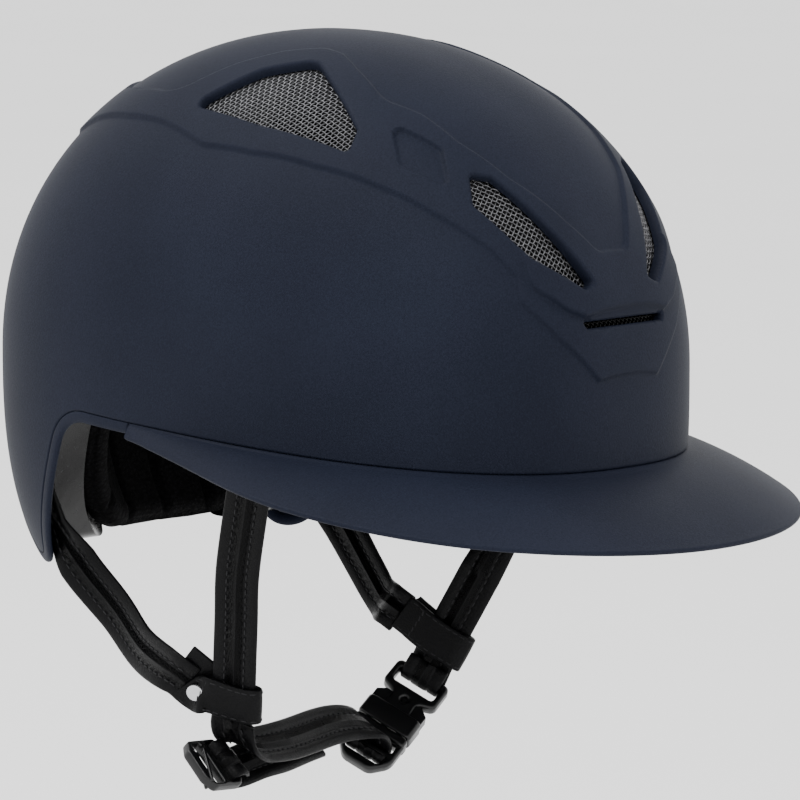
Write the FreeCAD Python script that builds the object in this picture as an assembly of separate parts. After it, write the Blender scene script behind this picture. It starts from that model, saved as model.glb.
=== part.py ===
import FreeCAD, Part
import os
from math import asin, atan2, cos, hypot, pi, radians, sin, sqrt, tan

V = FreeCAD.Vector

# Axes: +Z up, front of the helmet at -Y, wearer's right at -X. All sizes in mm.
# The origin is the middle of the head opening.

# Dome, measured at its widest ring
half_width = 105.5
front_reach = 149.5
rear_reach = 140.0
ring_height = 30.0          # widest ring above the head opening
crown_rise = 130.0          # widest ring up to the crown
skirt_drop = 138.0          # depth below the ring at which the skirt would close
plan_power = 2.45           # 2 is an ellipse, more is squarer
crown_power = 2.08
front_skirt_power = 3.1
rear_skirt_power = 2.6
base_depth = 78.0           # bottom of the untrimmed dome solids, below the origin

# Rim, as seen from the side
rim_level = 9.5             # rim height at the middle of the helmet
rim_slope = 0.085           # rise towards the rear
arch_y = 58.0               # where the ear arch turns down
arch_radius = 16.0
tip_y = 89.0                # lowest point, behind the ear
tip_z = -54.0
tip_radius = 6.0
nape_y = 122.0              # the rim rises from the tip to the nape
nape_z = -22.0
nape_radius = 16.0

# Walls and clearances
shell_wall = 2.6
liner_wall = 19.0
cover_wall = 1.3
fit_gap = 0.3               # between pieces fixed to each other
rim_lift = 4.0              # foam liner starts this far above the rim
cover_height = 20.0         # height of the liner cover's inner band

# Peak
peak_root_gap = 0.8         # groove under the shell
peak_collar = 5.5           # height of the collar below the groove
peak_edge = 2.4             # thickness of the peak's edge
peak_reach = [(0, 48.0), (25, 44.5), (50, 34.0), (75, 14.0), (92, 5.0), (104, 1.0)]
peak_drop = [(0, 24.5), (25, 21.5), (50, 14.5), (75, 8.0), (92, 4.5), (104, 3.0)]
peak_end_y = 17.0           # the collar meets the rear trim here
joint_gap = 0.6
trim_height = 5.4

# Vents: corners as degrees round from the front, degrees up, and corner radius
rear_vent = [(-103, 56, 3), (-84, 66.5, 10), (-58, 68, 7), (-44, 47, 3), (-46.5, 42.5, 2), (-72, 52, 30)]
front_vent = [(-23.5, 34.5, 2), (-19.5, 33.5, 3), (-6.5, 15, 1.5), (-8.5, 14, 1.5), (-17, 19.5, 8), (-24.5, 29, 2)]
brow_slit = [(-9.5, 9.6, 0.8), (9.5, 9.6, 0.8), (8.8, 8.0, 0.8), (-8.8, 8.0, 0.8)]
mesh_wall = 0.8
mesh_margin = 1.16          # mesh outline against its vent
mesh_seat = 1.22            # seat outline in the liner against its vent

# Comfort padding
pad_gap = 1.6               # hook-and-loop space behind the pads
headband_wall = 8.0
headband_top = 40.0
headband_end_y = 46.0
neck_pad_wall = 13.0
neck_pad_start_y = 60.0
neck_pad_top = 4.0
crown_pad_wall = 7.0
crown_pad = [(0, 52, 16), (60, 60, 16), (110, 60, 16), (180, 52, 16), (-110, 60, 16), (-60, 60, 16)]
side_pad = [(-120, 34, 8), (-120, 48, 8), (-62, 48, 8), (-62, 34, 8)]
dot_radius = 9.0
dot_wall = 1.0
dot_places = [(-25, 20), (25, 20), (-75, 20), (75, 20), (-90, 41), (90, 41), (-45, 72), (45, 72), (180, 72)]
neck_dot_places = [(-160, -12), (160, -12)]

# Straps
strap_width = 18.0
strap_wall = 2.2
wall_clearance = 1.6        # strap to the shell's inside
pocket_side = 1.5           # clearance beside a strap in its liner pocket
pocket_face = 0.8
rivet_radius = 2.2
rivet_head = 4.5
rivet_head_wall = 1.2
rivet_clearance = 0.3

# Yoke loops: a leather sleeve round the front strap, with an ear for the rear strap
yoke_length = 20.0
yoke_wall = 1.8
yoke_gap = 0.45
yoke_ear = 9.0
right_ear_tilt = 28.0       # degrees the ear rises towards the rear strap
left_ear_tilt = 6.0
yoke_ear_wall = 4.2
yoke_rivet_radius = 1.8
yoke_rivet_head = 3.4
yoke_rivet_cap = 0.9

# Strap lines, wearer's right side: points and width directions from the shell to the chin
right_front_low = (-71.0, -7.5, -108.0)
right_front_high = (-86.0, -23.0, -48.0)
right_front_way = (-0.36, 0.93, 0.0)
left_front_high = (77.9, -10.8, -65.8)
strap_end_gap = 0.5

# Buckle
mouth = (42.0, 11.0, -128.0)      # where plug and socket part
pull = (-0.79, 0.05, -0.61)       # the way the plug leaves
across = (-0.314, 0.823, 0.474)   # across the buckle's width
socket_width = 25.0
socket_wall = 9.6
socket_length = 22.0
socket_skin = 1.7
window_start = 6.0
window_length = 9.0
bar_radius = 1.5
bar_back = 8.0              # strap bar behind the socket's body
loop_gap = 0.4              # between a bar and the strap folded round it
arm_wall = 5.0
plug_gap = 0.35
shoulder = 4.0
plug_bar = 10.5             # strap bar beyond the mouth
plug_end = 17.5             # end bar beyond the mouth
rail_width = 3.0
rail_length = 17.0
prong_width = 2.8
prong_wall = 5.4
prong_length = 16.0
prong_barb = 3.4
prong_offset = 7.2          # prong's middle line from the buckle's middle

# Strap length adjuster
adjuster_centre = (-80.0, -4.5, -126.0)
adjuster_way = (0.99, 0.02, -0.06)
adjuster_across = (-0.1, 0.7, 0.7)
adjuster_width = 23.0
adjuster_wall = 4.4
adjuster_rail = 1.7
adjuster_bar = 3.0
adjuster_slot = 5.2


def save(shape, name):
    shape.exportStep("parts/" + name + ".step")
    print(name, len(shape.Solids), "solids", round(shape.Volume / 1000, 2), "cm3")


# ---- the dome ----

def direction(lon, lat):
    a, b = radians(lon), radians(lat)
    return V(sin(a) * cos(b), -cos(a) * cos(b), sin(b))


def level(x, y, z):
    """1 on the dome, less inside. z is counted from the widest ring."""
    lean = 0.5 + 0.5 * y / max(hypot(x, y), 1e-9)
    reach = front_reach * (1 - lean) + rear_reach * lean
    high = crown_rise if z > 0 else skirt_drop
    power = crown_power if z > 0 else front_skirt_power * (1 - lean) + rear_skirt_power * lean
    plan = (abs(x / half_width) ** plan_power + abs(y / reach) ** plan_power) ** (1 / plan_power)
    return (plan ** power + abs(z / high) ** power) ** (1 / power)


def dome_point(way, inset=0.0):
    """Point of the dome along a direction from the ring's middle, set in along the normal."""
    size = 1 / level(way.x, way.y, way.z)
    p = way * size
    step = 0.02
    slope = V(level(p.x + step, p.y, p.z) - level(p.x - step, p.y, p.z),
              level(p.x, p.y + step, p.z) - level(p.x, p.y - step, p.z),
              level(p.x, p.y, p.z + step) - level(p.x, p.y, p.z - step))
    slope.normalize()
    return p - slope * inset + V(0, 0, ring_height)


def wall_point(lon, lat, inset):
    return dome_point(direction(lon, lat), inset)


def last_polar(lon, inset, base):
    """Angle from straight up at which the inset dome reaches the base height."""
    low, high = pi / 2, pi * 0.98
    for _ in range(40):
        mid = (low + high) / 2
        way = V(sin(mid) * sin(lon), -sin(mid) * cos(lon), cos(mid))
        if dome_point(way, inset).z > base:
            low = mid
        else:
            high = mid
    return (low + high) / 2


def dome_solid(inset):
    """Closed solid of the dome, without a pole: a square grid bent to the round edge."""
    count = 17
    base = -base_depth - inset * 0.1
    ends = {}
    rows = []
    for i in range(-count, count + 1):
        row = []
        for j in range(-count, count + 1):
            u, v = i / count, j / count
            a, b = u * sqrt(1 - v * v / 2), v * sqrt(1 - u * u / 2)
            share = hypot(a, b)
            lon = atan2(a, b) if share else 0.0
            key = round(lon, 6)
            if key not in ends:
                ends[key] = last_polar(lon, inset, base)
            polar = share * ends[key]
            way = V(sin(polar) * sin(lon), -sin(polar) * cos(lon), cos(polar))
            p = dome_point(way, inset)
            if max(abs(i), abs(j)) == count:
                p.z = base
            row.append(p)
        rows.append(row)
    surface = Part.BSplineSurface()
    surface.interpolate(rows)
    skin = surface.toShape()
    lid = Part.Face(Part.Wire(Part.__sortEdges__(skin.Edges)))
    return Part.Solid(Part.makeShell([skin, lid]))


def solid_of(shape):
    if shape.Volume < 0:
        shape.reverse()
    return shape


# ---- outlines ----

def rounded_wire(corners, place):
    """Closed wire through corners (a, b, radius), each corner rounded."""
    count = len(corners)
    edges = []
    previous_end = None
    first_start = None
    for k in range(count):
        a0, b0, _ = corners[k - 1]
        a1, b1, radius = corners[k]
        a2, b2, _ = corners[(k + 1) % count]
        into = (a0 - a1, b0 - b1)
        out = (a2 - a1, b2 - b1)
        len_in, len_out = hypot(*into), hypot(*out)
        into = (into[0] / len_in, into[1] / len_in)
        out = (out[0] / len_out, out[1] / len_out)
        half = asin(min(1.0, hypot(into[0] - out[0], into[1] - out[1]) / 2))
        cut = min(radius / tan(half), 0.48 * min(len_in, len_out))
        radius = cut * tan(half)
        start = (a1 + into[0] * cut, b1 + into[1] * cut)
        end = (a1 + out[0] * cut, b1 + out[1] * cut)
        middle = (into[0] + out[0], into[1] + out[1])
        size = hypot(*middle)
        if radius > 0.01 and size > 1e-6:
            reach = radius / sin(half) - radius
            top = (a1 + middle[0] / size * reach, b1 + middle[1] / size * reach)
            arc = Part.Arc(place(*start), place(*top), place(*end)).toShape()
        else:
            arc = None
            start = end = (a1, b1)
        if previous_end:
            edges.append(Part.makeLine(place(*previous_end), place(*start)))
        else:
            first_start = start
        if arc:
            edges.append(arc)
        previous_end = end
    edges.append(Part.makeLine(place(*previous_end), place(*first_start)))
    return Part.Wire(edges)


def mirrored(corners):
    return [(-lon, lat, radius) for lon, lat, radius in reversed(corners)]


def radial_solid(corners, near=0.55, far=1.3, grow=1.0):
    """Solid that widens outward from the ring's middle through an outline on the dome."""
    ways = [direction(lon, lat) for lon, lat, _ in corners]
    main = V(0, 0, 0)
    for way in ways:
        main = main + way
    main.normalize()
    side = main.cross(V(0, 0, 1)) if abs(main.z) < 0.95 else main.cross(V(0, 1, 0))
    side.normalize()
    rise = side.cross(main)
    depth = 1 / level(main.x, main.y, main.z)
    flat = [(depth * way.dot(side) / way.dot(main), depth * way.dot(rise) / way.dot(main)) for way in ways]
    mid = (sum(p[0] for p in flat) / len(flat), sum(p[1] for p in flat) / len(flat))
    flat = [(mid[0] + (p[0] - mid[0]) * grow, mid[1] + (p[1] - mid[1]) * grow, c[2] * grow)
            for p, c in zip(flat, corners)]
    wires = []
    for scale in (near, far):
        def place(a, b):
            return (main * depth + side * a + rise * b) * scale + V(0, 0, ring_height)
        wires.append(rounded_wire(flat, place))
    return solid_of(Part.makeLoft(wires, True, True))


def rim_height(y):
    return rim_level + rim_slope * y


def above_rim(lift):
    """Everything above the rim line moved up by lift."""
    far_y, top = 260.0, 260.0
    corners = [(-far_y, rim_height(-far_y), 0), (arch_y, rim_height(arch_y), arch_radius),
               (tip_y, tip_z, tip_radius), (nape_y, nape_z, nape_radius), (far_y, nape_z, 0),
               (far_y, top, 0), (-far_y, top, 0)]
    shift = 0.45 * lift
    wire = rounded_wire(corners, lambda y, z: V(-200, y + shift, z + lift))
    return Part.Face(wire).extrude(V(400, 0, 0))


def box(x0, x1, y0, y1, z0, z1):
    return Part.makeBox(x1 - x0, y1 - y0, z1 - z0, V(x0, y0, z0))


# ---- straps ----

def strap(stations, width, wall, end=None, lead=0.0):
    """Flat strap through stations ((x, y, z), (width direction)), up to the station numbered end.

    lead lengthens its start."""
    points = [V(*p) for p, _ in stations]
    marks = [0.0]
    for a, b in zip(points, points[1:]):
        marks.append(marks[-1] + (b - a).Length ** 0.6)
    curve = Part.BSplineCurve()
    curve.interpolate(Points=points, Parameters=marks)
    spans = len(points) - 1 if end is None else end
    steps = 4
    wires = []
    for k in range(spans * steps + 1):
        i = min(k // steps, spans - 1)
        share = k / steps - i
        t = marks[i] + (marks[i + 1] - marks[i]) * share
        w = V(*stations[i][1]) * (1 - share) + V(*stations[i + 1][1]) * share
        along = V(*curve.tangent(t)[0])
        if k == 0:
            along = points[1] - points[0]
        if k == (len(points) - 1) * steps:
            along = points[-1] - points[-2]
        along.normalize()
        w = w - along * w.dot(along)
        w.normalize()
        n = along.cross(w)
        p = curve.value(t) - (along * lead if k == 0 else V())
        corners = [p + w * a * width / 2 + n * b * wall / 2 for a, b in ((-1, -1), (1, -1), (1, 1), (-1, 1))]
        wires.append(Part.makePolygon(corners + [corners[0]]))
    return solid_of(Part.makeLoft(wires, True, True))


def to_frame(shape, origin, x_way, y_way, z_way):
    matrix = FreeCAD.Matrix(x_way.x, y_way.x, z_way.x, origin.x,
                            x_way.y, y_way.y, z_way.y, origin.y,
                            x_way.z, y_way.z, z_way.z, origin.z,
                            0, 0, 0, 1)
    placed = shape.copy()
    placed.Placement = FreeCAD.Placement(matrix).multiply(placed.Placement)
    return placed


def frame_along(way, width_way):
    """Right-handed frame: x along, y across the width, z through the thickness."""
    x_way = V(way)
    x_way.normalize()
    y_way = width_way - x_way * width_way.dot(x_way)
    y_way.normalize()
    return x_way, y_way, x_way.cross(y_way)


# ---- shell, liner and vents ----

domes = {}


def dome(inset):
    key = round(inset, 3)
    if key not in domes:
        domes[key] = dome_solid(inset)
    return domes[key]


def layer(outer, inner):
    return dome(outer).cut(dome(inner))


def flip(shape):
    return shape.mirror(V(0, 0, 0), V(1, 0, 0))


vents = [("rear_vent_mesh_right", rear_vent), ("rear_vent_mesh_left", mirrored(rear_vent)),
         ("front_vent_mesh_right", front_vent), ("front_vent_mesh_left", mirrored(front_vent)),
         ("brow_vent_mesh", brow_slit)]
liner_out = shell_wall + fit_gap
mesh_in = liner_out + mesh_wall
liner_in = liner_out + liner_wall
cover_out = liner_in + fit_gap
cover_in = cover_out + cover_wall
pad_out = liner_in + pad_gap + fit_gap
rim_cover_lift = rim_lift - fit_gap - cover_wall


def outer_shell():
    shell = dome(0).common(above_rim(0)).cut(dome(shell_wall))
    for _, corners in vents:
        shell = shell.cut(radial_solid(corners))
    return shell


def impact_liner(pockets):
    liner = dome(liner_out).common(above_rim(rim_lift)).cut(dome(liner_in))
    for _, corners in vents:
        liner = liner.cut(radial_solid(corners))
        seat = radial_solid(corners, near=0.7, grow=mesh_seat).cut(dome(mesh_in + fit_gap))
        liner = liner.cut(seat)
    for pocket in pockets:
        liner = liner.cut(pocket)
    return liner


def vent_mesh(corners):
    return radial_solid(corners, near=0.7, grow=mesh_margin).common(layer(liner_out, mesh_in))


def liner_cover(pockets):
    """Gloss cover under the foam's edge, with a low band up its inner face."""
    block = dome(liner_out).common(above_rim(rim_cover_lift)).cut(dome(cover_in))
    foam_room = dome(0).common(above_rim(rim_lift - fit_gap)).cut(dome(cover_out))
    cover = block.cut(foam_room).cut(above_rim(cover_height))
    for pocket in pockets:
        cover = cover.cut(pocket)
    split = arch_y - 8.0
    front = cover.common(box(-300, 300, -300, split, -300, 300))
    rear = cover.common(box(-300, 300, split + joint_gap, 300, -300, 300))
    largest = max(rear.Solids, key=lambda solid: solid.Volume)
    return front, largest


def peak():
    collar = layer(0, shell_wall).cut(above_rim(-peak_root_gap)).common(above_rim(-peak_root_gap - peak_collar))
    whole = collar.fuse(brim())
    return whole.common(box(-300, 300, -300, peak_end_y, -300, 300))


def spread(table, lon):
    """Smooth value between the table's (degrees, value) rows."""
    lon = abs(lon)
    for (a, u), (b, w) in zip(table, table[1:]):
        if lon <= b:
            share = (lon - a) / (b - a)
            slopes = []
            for x, k in ((a, table.index((a, u))), (b, table.index((b, w)))):
                if k == 0 or k == len(table) - 1:
                    slopes.append(0.0 if k == 0 else (w - u) / (b - a))
                else:
                    slopes.append((table[k + 1][1] - table[k - 1][1]) / (table[k + 1][0] - table[k - 1][0]))
            h = b - a
            s2, s3 = share * share, share ** 3
            return (u * (2 * s3 - 3 * s2 + 1) + h * slopes[0] * (s3 - 2 * s2 + share)
                    + w * (3 * s2 - 2 * s3) + h * slopes[1] * (s3 - s2))
    return table[-1][1]


def rim_point(lon, drop, inset):
    """Point of the dome, drop below the rim line."""
    low, high = -60.0, 60.0
    for _ in range(40):
        mid = (low + high) / 2
        p = wall_point(lon, mid, inset)
        if p.z > rim_height(p.y) - drop:
            high = mid
        else:
            low = mid
    return wall_point(lon, low, inset)


def brim():
    end = peak_reach[-1][0]
    wires = []
    count = 26
    for k in range(-count, count + 1):
        lon = end * k / count
        root = rim_point(lon, peak_root_gap + 0.6, 0.6)
        ahead = rim_point(lon + 1, peak_root_gap + 0.6, 0.6) - rim_point(lon - 1, peak_root_gap + 0.6, 0.6)
        out = V(ahead.y, -ahead.x, 0)
        out.normalize()
        reach, drop = spread(peak_reach, lon), spread(peak_drop, lon)
        edge = min(peak_edge, 1.0 + drop * 0.3)
        upper = [root + out * reach * s + V(0, 0, -drop * (0.55 * s + 0.45 * s * s)) for s in (0, 0.33, 0.67, 1)]
        lower = [p + V(0, 0, -edge - (1 - s) * 1.2) - out * 0.4 for p, s in zip(upper, (0, 0.33, 0.67, 1))]
        lower[0] = lower[0] - out * 1.0
        top, under = Part.BSplineCurve(), Part.BSplineCurve()
        top.interpolate(Points=upper)
        under.interpolate(Points=lower[::-1])
        wires.append(Part.Wire([top.toShape(), Part.makeLine(upper[-1], lower[-1]), under.toShape(),
                                Part.makeLine(lower[0], upper[0])]))
    return solid_of(Part.makeLoft(wires, True, False))


def rear_trim():
    trim = layer(0, shell_wall).common(above_rim(-trim_height)).cut(above_rim(-peak_root_gap))
    return trim.common(box(-300, 300, peak_end_y + joint_gap, 300, -300, 300))


# ---- comfort padding ----

def headband():
    band = layer(pad_out, pad_out + headband_wall).common(above_rim(rim_lift + 2))
    return band.common(box(-300, 300, -300, headband_end_y, -300, headband_top))


def neck_pad():
    pad = layer(pad_out, pad_out + neck_pad_wall).common(above_rim(rim_lift + 1))
    return pad.common(box(-300, 300, neck_pad_start_y, 300, -300, neck_pad_top))


def crown_cushion():
    return radial_solid(crown_pad, near=0.4).common(layer(pad_out, pad_out + crown_pad_wall))


def side_cushion(corners):
    return radial_solid(corners, near=0.4).common(layer(pad_out, pad_out + crown_pad_wall))


def fastener_dots():
    """Round hook-and-loop dots between the liner and the pads."""
    ring = layer(liner_in + fit_gap, liner_in + fit_gap + dot_wall)
    dots = []
    for lon, lat in dot_places:
        way = direction(lon, lat)
        rod = Part.makeCylinder(dot_radius, 120, way * 20 + V(0, 0, ring_height), way)
        dots.append(rod.common(ring))
    return Part.makeCompound(dots)


# ---- straps ----

def unit(p):
    v = V(*p)
    v.normalize()
    return v


def strap_side(lon, lat):
    """Width direction of a strap that lies on the shell's inside, pointing rearward."""
    ahead = wall_point(lon + 2, lat, in_wall) - wall_point(lon - 2, lat, in_wall)
    ahead.normalize()
    return tuple(ahead if lon > 0 else -ahead)


in_wall = shell_wall + wall_clearance + strap_wall / 2
buckle_frame = frame_along(V(*pull), V(*across))
adjuster_frame = frame_along(V(*adjuster_way), V(*adjuster_across))


def buckle_point(x, y, z):
    return V(*mouth) + buckle_frame[0] * x + buckle_frame[1] * y + buckle_frame[2] * z


def in_buckle(shape):
    return to_frame(shape, V(*mouth), *buckle_frame)


def in_adjuster(shape):
    return to_frame(shape, V(*adjuster_centre), *adjuster_frame)


bar_place = -socket_length - bar_back
fold_radius = bar_radius + loop_gap + strap_wall / 2
left_low = buckle_point(bar_place, 0, 0)


def wall_station(lon, lat, inset=None):
    return (tuple(wall_point(lon, lat, in_wall if inset is None else inset)), strap_side(lon, lat))


def on_line(low, high, count, stop):
    """Points from high down to low plus a share, for a strap's straight run."""
    return [tuple(V(*high) + (V(*low) - V(*high)) * (stop * k / count)) for k in range(count + 1)]


def right_front_stations():
    run = on_line(right_front_low, right_front_high, 4, 1.0)
    return [wall_station(-66, 4), wall_station(-67, -7)] + [((-94.5, -36.5, -12), right_front_way)] \
        + [(p, right_front_way) for p in run]


def left_front_stations():
    run = on_line(tuple(left_low), left_front_high, 4, 1.0)
    return [wall_station(66, 4), wall_station(67, -7), ((94.5, -36.5, -12), (0.36, 0.93, 0.0)),
            ((84.0, -20.0, -47), (0.1, 0.93, 0.25))] + [(p, across) for p in run]


def yoke_frame(low, high, way):
    return frame_along(V(*low) - V(*high), V(*way))


right_yoke_frame = yoke_frame(right_front_low, right_front_high, right_front_way)
left_yoke_frame = yoke_frame(tuple(left_low), left_front_high, across)
right_yoke_place = V(*right_front_low) - right_yoke_frame[0] * (yoke_length / 2 - 2.5)
left_yoke_place = left_low - left_yoke_frame[0] * (yoke_length / 2 + 7.5)
ear_start = strap_width / 2 + yoke_gap + yoke_wall


def ear_point(place, frame, tilt, distance):
    """Point along a yoke's ear, distance from the sleeve's side."""
    x, y = -sin(radians(tilt)) * distance, ear_start + cos(radians(tilt)) * distance
    return place + frame[0] * x + frame[1] * y


def ear_stations(place, frame, tilt):
    """Last two stations of a rear strap, straight into the ear."""
    width_way = frame[0] * cos(radians(tilt)) + frame[1] * sin(radians(tilt))
    return [(tuple(ear_point(place, frame, tilt, yoke_ear + strap_end_gap + d)), tuple(width_way)) for d in (7.0, 0.0)]


def right_rear_stations():
    return [wall_station(-134, -6), wall_station(-134, -20), wall_station(-134.5, -30, in_wall + 2.7),
            ((-74.5, 72.0, -53.0), (-0.25, 0.75, -0.5)), ((-73.5, 52.0, -71.0), (-0.1, 0.6, -0.8)),
            ((-79.5, 33.0, -83.5), (-0.05, 0.5, -0.86))] \
        + ear_stations(right_yoke_place, right_yoke_frame, right_ear_tilt)


def left_rear_stations():
    return [wall_station(134, -6), wall_station(134, -20, in_wall + 0.5), ((78.0, 76.0, -34.0), (-0.4, 0.75, -0.3)),
            ((75.0, 62.0, -50.0), (-0.2, 0.65, -0.7)), ((72.5, 46.0, -68.0), (-0.1, 0.6, -0.8)),
            ((69.0, 34.0, -79.0), (-0.1, 0.5, -0.86))] \
        + ear_stations(left_yoke_place, left_yoke_frame, left_ear_tilt)


def rivet_place(stations, t):
    """Middle of the strap, its way and its normal away from the shell, near the strap's top end."""
    p0, p1 = V(*stations[0][0]), V(*stations[1][0])
    p = p0 + (p1 - p0) * t
    normal = V(-p.x, -p.y, -(p.z - ring_height) * 0.6)
    way = p1 - p0
    way.normalize()
    normal = normal - way * normal.dot(way)
    side = V(*stations[0][1])
    side = side - way * side.dot(way)
    side.normalize()
    normal = normal - side * normal.dot(side)
    normal.normalize()
    return p, normal


def anchor_rivet(stations):
    p, normal = rivet_place(stations, 0.3)
    start = p - normal * (strap_wall / 2 + 0.3)
    shank = Part.makeCylinder(rivet_radius, strap_wall + 0.9, start, normal)
    head = Part.makeCylinder(rivet_head, rivet_head_wall, start + normal * (strap_wall + 0.8), normal)
    return shank.fuse(head)


def hung_strap(stations):
    p, normal = rivet_place(stations, 0.3)
    hole = Part.makeCylinder(rivet_radius + rivet_clearance, 12, p - normal * 6, normal)
    return strap(stations, strap_width, strap_wall).cut(hole)


def pocket(stations, end):
    """Room in the liner for a strap's upper end and its rivet."""
    body = strap(stations, strap_width + 2 * pocket_side, strap_wall + 2 * pocket_face, end, pocket_side)
    p, normal = rivet_place(stations, 0.3)
    room = Part.makeCylinder(rivet_head + 1, 6.5, p - normal * 1.5, normal)
    return body.fuse(room)


def fold(place, axis, length):
    """Strap end folded round a bar."""
    inner = fold_radius - strap_wall / 2
    outer = fold_radius + strap_wall / 2
    start = place - axis * length / 2
    return Part.makeCylinder(outer, length, start, axis).cut(Part.makeCylinder(inner, length, start, axis))


def left_front_strap():
    stations = left_front_stations()
    gap = fold_radius
    run = left_low - V(*left_front_high)
    way = V(run)
    way.normalize()
    last = left_low - way * gap
    stations[-1] = (tuple(last), stations[-1][1])
    return hung_strap(stations).fuse(fold(left_low, buckle_frame[1], strap_width))


def tilted(shape, tilt):
    """Turned with the ear about the sleeve's side."""
    shape.rotate(V(0, ear_start, 0), V(0, 0, 1), tilt)
    return shape


def yoke(place, frame, tilt, with_rivet):
    hole_y = strap_width / 2 + yoke_gap
    hole_z = strap_wall / 2 + yoke_gap
    out_z = hole_z + yoke_wall
    body = box(-yoke_length / 2, yoke_length / 2, -ear_start, ear_start, -out_z, out_z)
    body = body.makeFillet(1.2, [e for e in body.Edges if abs(e.tangentAt(e.FirstParameter).x) > 0.99])
    half = strap_width / 2
    ear = box(-half, half, ear_start - yoke_wall, ear_start + yoke_ear, -yoke_ear_wall / 2, yoke_ear_wall / 2)
    body = body.fuse(tilted(ear, tilt))
    body = body.cut(box(-2 * yoke_length, 2 * yoke_length, -hole_y, hole_y, -hole_z, hole_z))
    if with_rivet:
        hole = Part.makeCylinder(yoke_rivet_radius + 0.2, 20, V(0, ear_start + yoke_ear / 2, -10), V(0, 0, 1))
        body = body.cut(tilted(hole, tilt))
    return to_frame(body, place, *frame)


def yoke_rivet(place, frame, tilt):
    y = ear_start + yoke_ear / 2
    half = yoke_ear_wall / 2 + 0.2
    body = Part.makeCylinder(yoke_rivet_radius, 2 * half, V(0, y, -half), V(0, 0, 1))
    for z in (-half - yoke_rivet_cap, half):
        body = body.fuse(Part.makeCylinder(yoke_rivet_head, yoke_rivet_cap, V(0, y, z), V(0, 0, 1)))
    return to_frame(tilted(body, tilt), place, *frame)


# ---- chin strap, buckle and adjuster ----

def chin_stations():
    low, way = V(*right_front_low), right_yoke_frame[0]
    turn = buckle_point(plug_bar - fold_radius + 0.8, 0, -7.0)
    seat = buckle_point(plug_bar - fold_radius, 0, 0)
    return [(tuple(low + way * strap_end_gap), right_front_way), (tuple(low + way * 5.5), right_front_way),
            ((-66.0, -7.0, -118.2), (-0.3, 0.85, 0.35)), ((-55.0, -6.0, -121.0), (-0.2, 0.7, 0.68)),
            ((-34.0, -3.0, -121.8), (-0.15, 0.6, 0.78)), ((-8.0, 2.5, -121.0), (-0.15, 0.6, 0.78)),
            ((14.0, 5.5, -121.2), (-0.2, 0.68, 0.7)), ((26.5, 5.5, -124.3), (-0.26, 0.76, 0.58)),
            (tuple(turn), across), (tuple(seat), across)]


def chin_strap():
    """From the yoke to the plug, then folded round the plug's bar."""
    around = []
    for degrees in range(30, 250, 30):
        a = radians(degrees)
        around.append((tuple(buckle_point(plug_bar - fold_radius * cos(a), 0, fold_radius * sin(a))), across))
    return strap(chin_stations() + around, strap_width, strap_wall)


def tail_strap():
    """Doubled-back end of the chin strap, folded round the adjuster's first bar."""
    way, side, up = adjuster_frame
    bar = V(*adjuster_centre) + way * adjuster_bar_place()
    turn = hypot(adjuster_bar, adjuster_wall) / 2 + loop_gap + strap_wall / 2
    around = []
    for degrees in range(240, -1, -30):
        a = radians(degrees)
        around.append((tuple(bar - way * turn * sin(a) - up * turn * cos(a)), adjuster_across))
    run = [(tuple(bar + way * 6.0 - up * turn), adjuster_across),
           ((-52.0, -1.6, -127.8), (-0.15, 0.68, 0.72)), ((-38.0, -0.6, -126.9), (-0.15, 0.6, 0.78)),
           ((-22.0, 2.6, -125.8), (-0.15, 0.6, 0.78)), ((-8.0, 5.6, -125.1), (-0.15, 0.6, 0.78))]
    return strap(around + run, strap_width, strap_wall)


def adjuster_bar_place():
    return adjuster_slot + adjuster_bar


def adjuster():
    half_length = 1.5 * adjuster_bar + adjuster_slot
    half = adjuster_width / 2
    body = box(-half_length, half_length, -half, half, -adjuster_wall / 2, adjuster_wall / 2)
    body = body.makeFillet(3.0, [e for e in body.Edges if abs(e.tangentAt(e.FirstParameter).z) > 0.99])
    inner = half - adjuster_rail
    for sign in (-1, 1):
        near = adjuster_bar / 2
        low, high = sorted((sign * near, sign * (near + adjuster_slot)))
        body = body.cut(box(low, high, -inner, inner, -9, 9))
    return in_adjuster(body)


def round_bar(x):
    return Part.makeCylinder(bar_radius, socket_width - 2, V(x, -socket_width / 2 + 1, 0), V(0, 1, 0))


def socket():
    """Female half, open at the mouth (x = 0), with its strap bar behind."""
    half, thick = socket_width / 2, socket_wall / 2
    body = box(-socket_length, 0, -half, half, -thick, thick)
    body = body.makeFillet(2.0, [e for e in body.Edges if abs(e.tangentAt(e.FirstParameter).x) > 0.99])
    room_y, room_z = half - socket_skin, thick - socket_skin
    body = body.cut(box(-socket_length + 2, 1, -room_y, room_y, -room_z, room_z))
    low = -window_start - window_length
    for sign in (-1, 1):
        y0, y1 = sorted((sign * (half - 5), sign * (half + 1)))
        body = body.cut(box(low, -window_start, y0, y1, -thick - 1, thick + 1))
    arm = strap_width / 2 + 0.6
    for sign in (-1, 1):
        y0, y1 = sorted((sign * arm, sign * half))
        body = body.fuse(box(bar_place - bar_radius, -socket_length + 1, y0, y1, -arm_wall / 2, arm_wall / 2))
    return in_buckle(body.fuse(round_bar(bar_place)))


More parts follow.
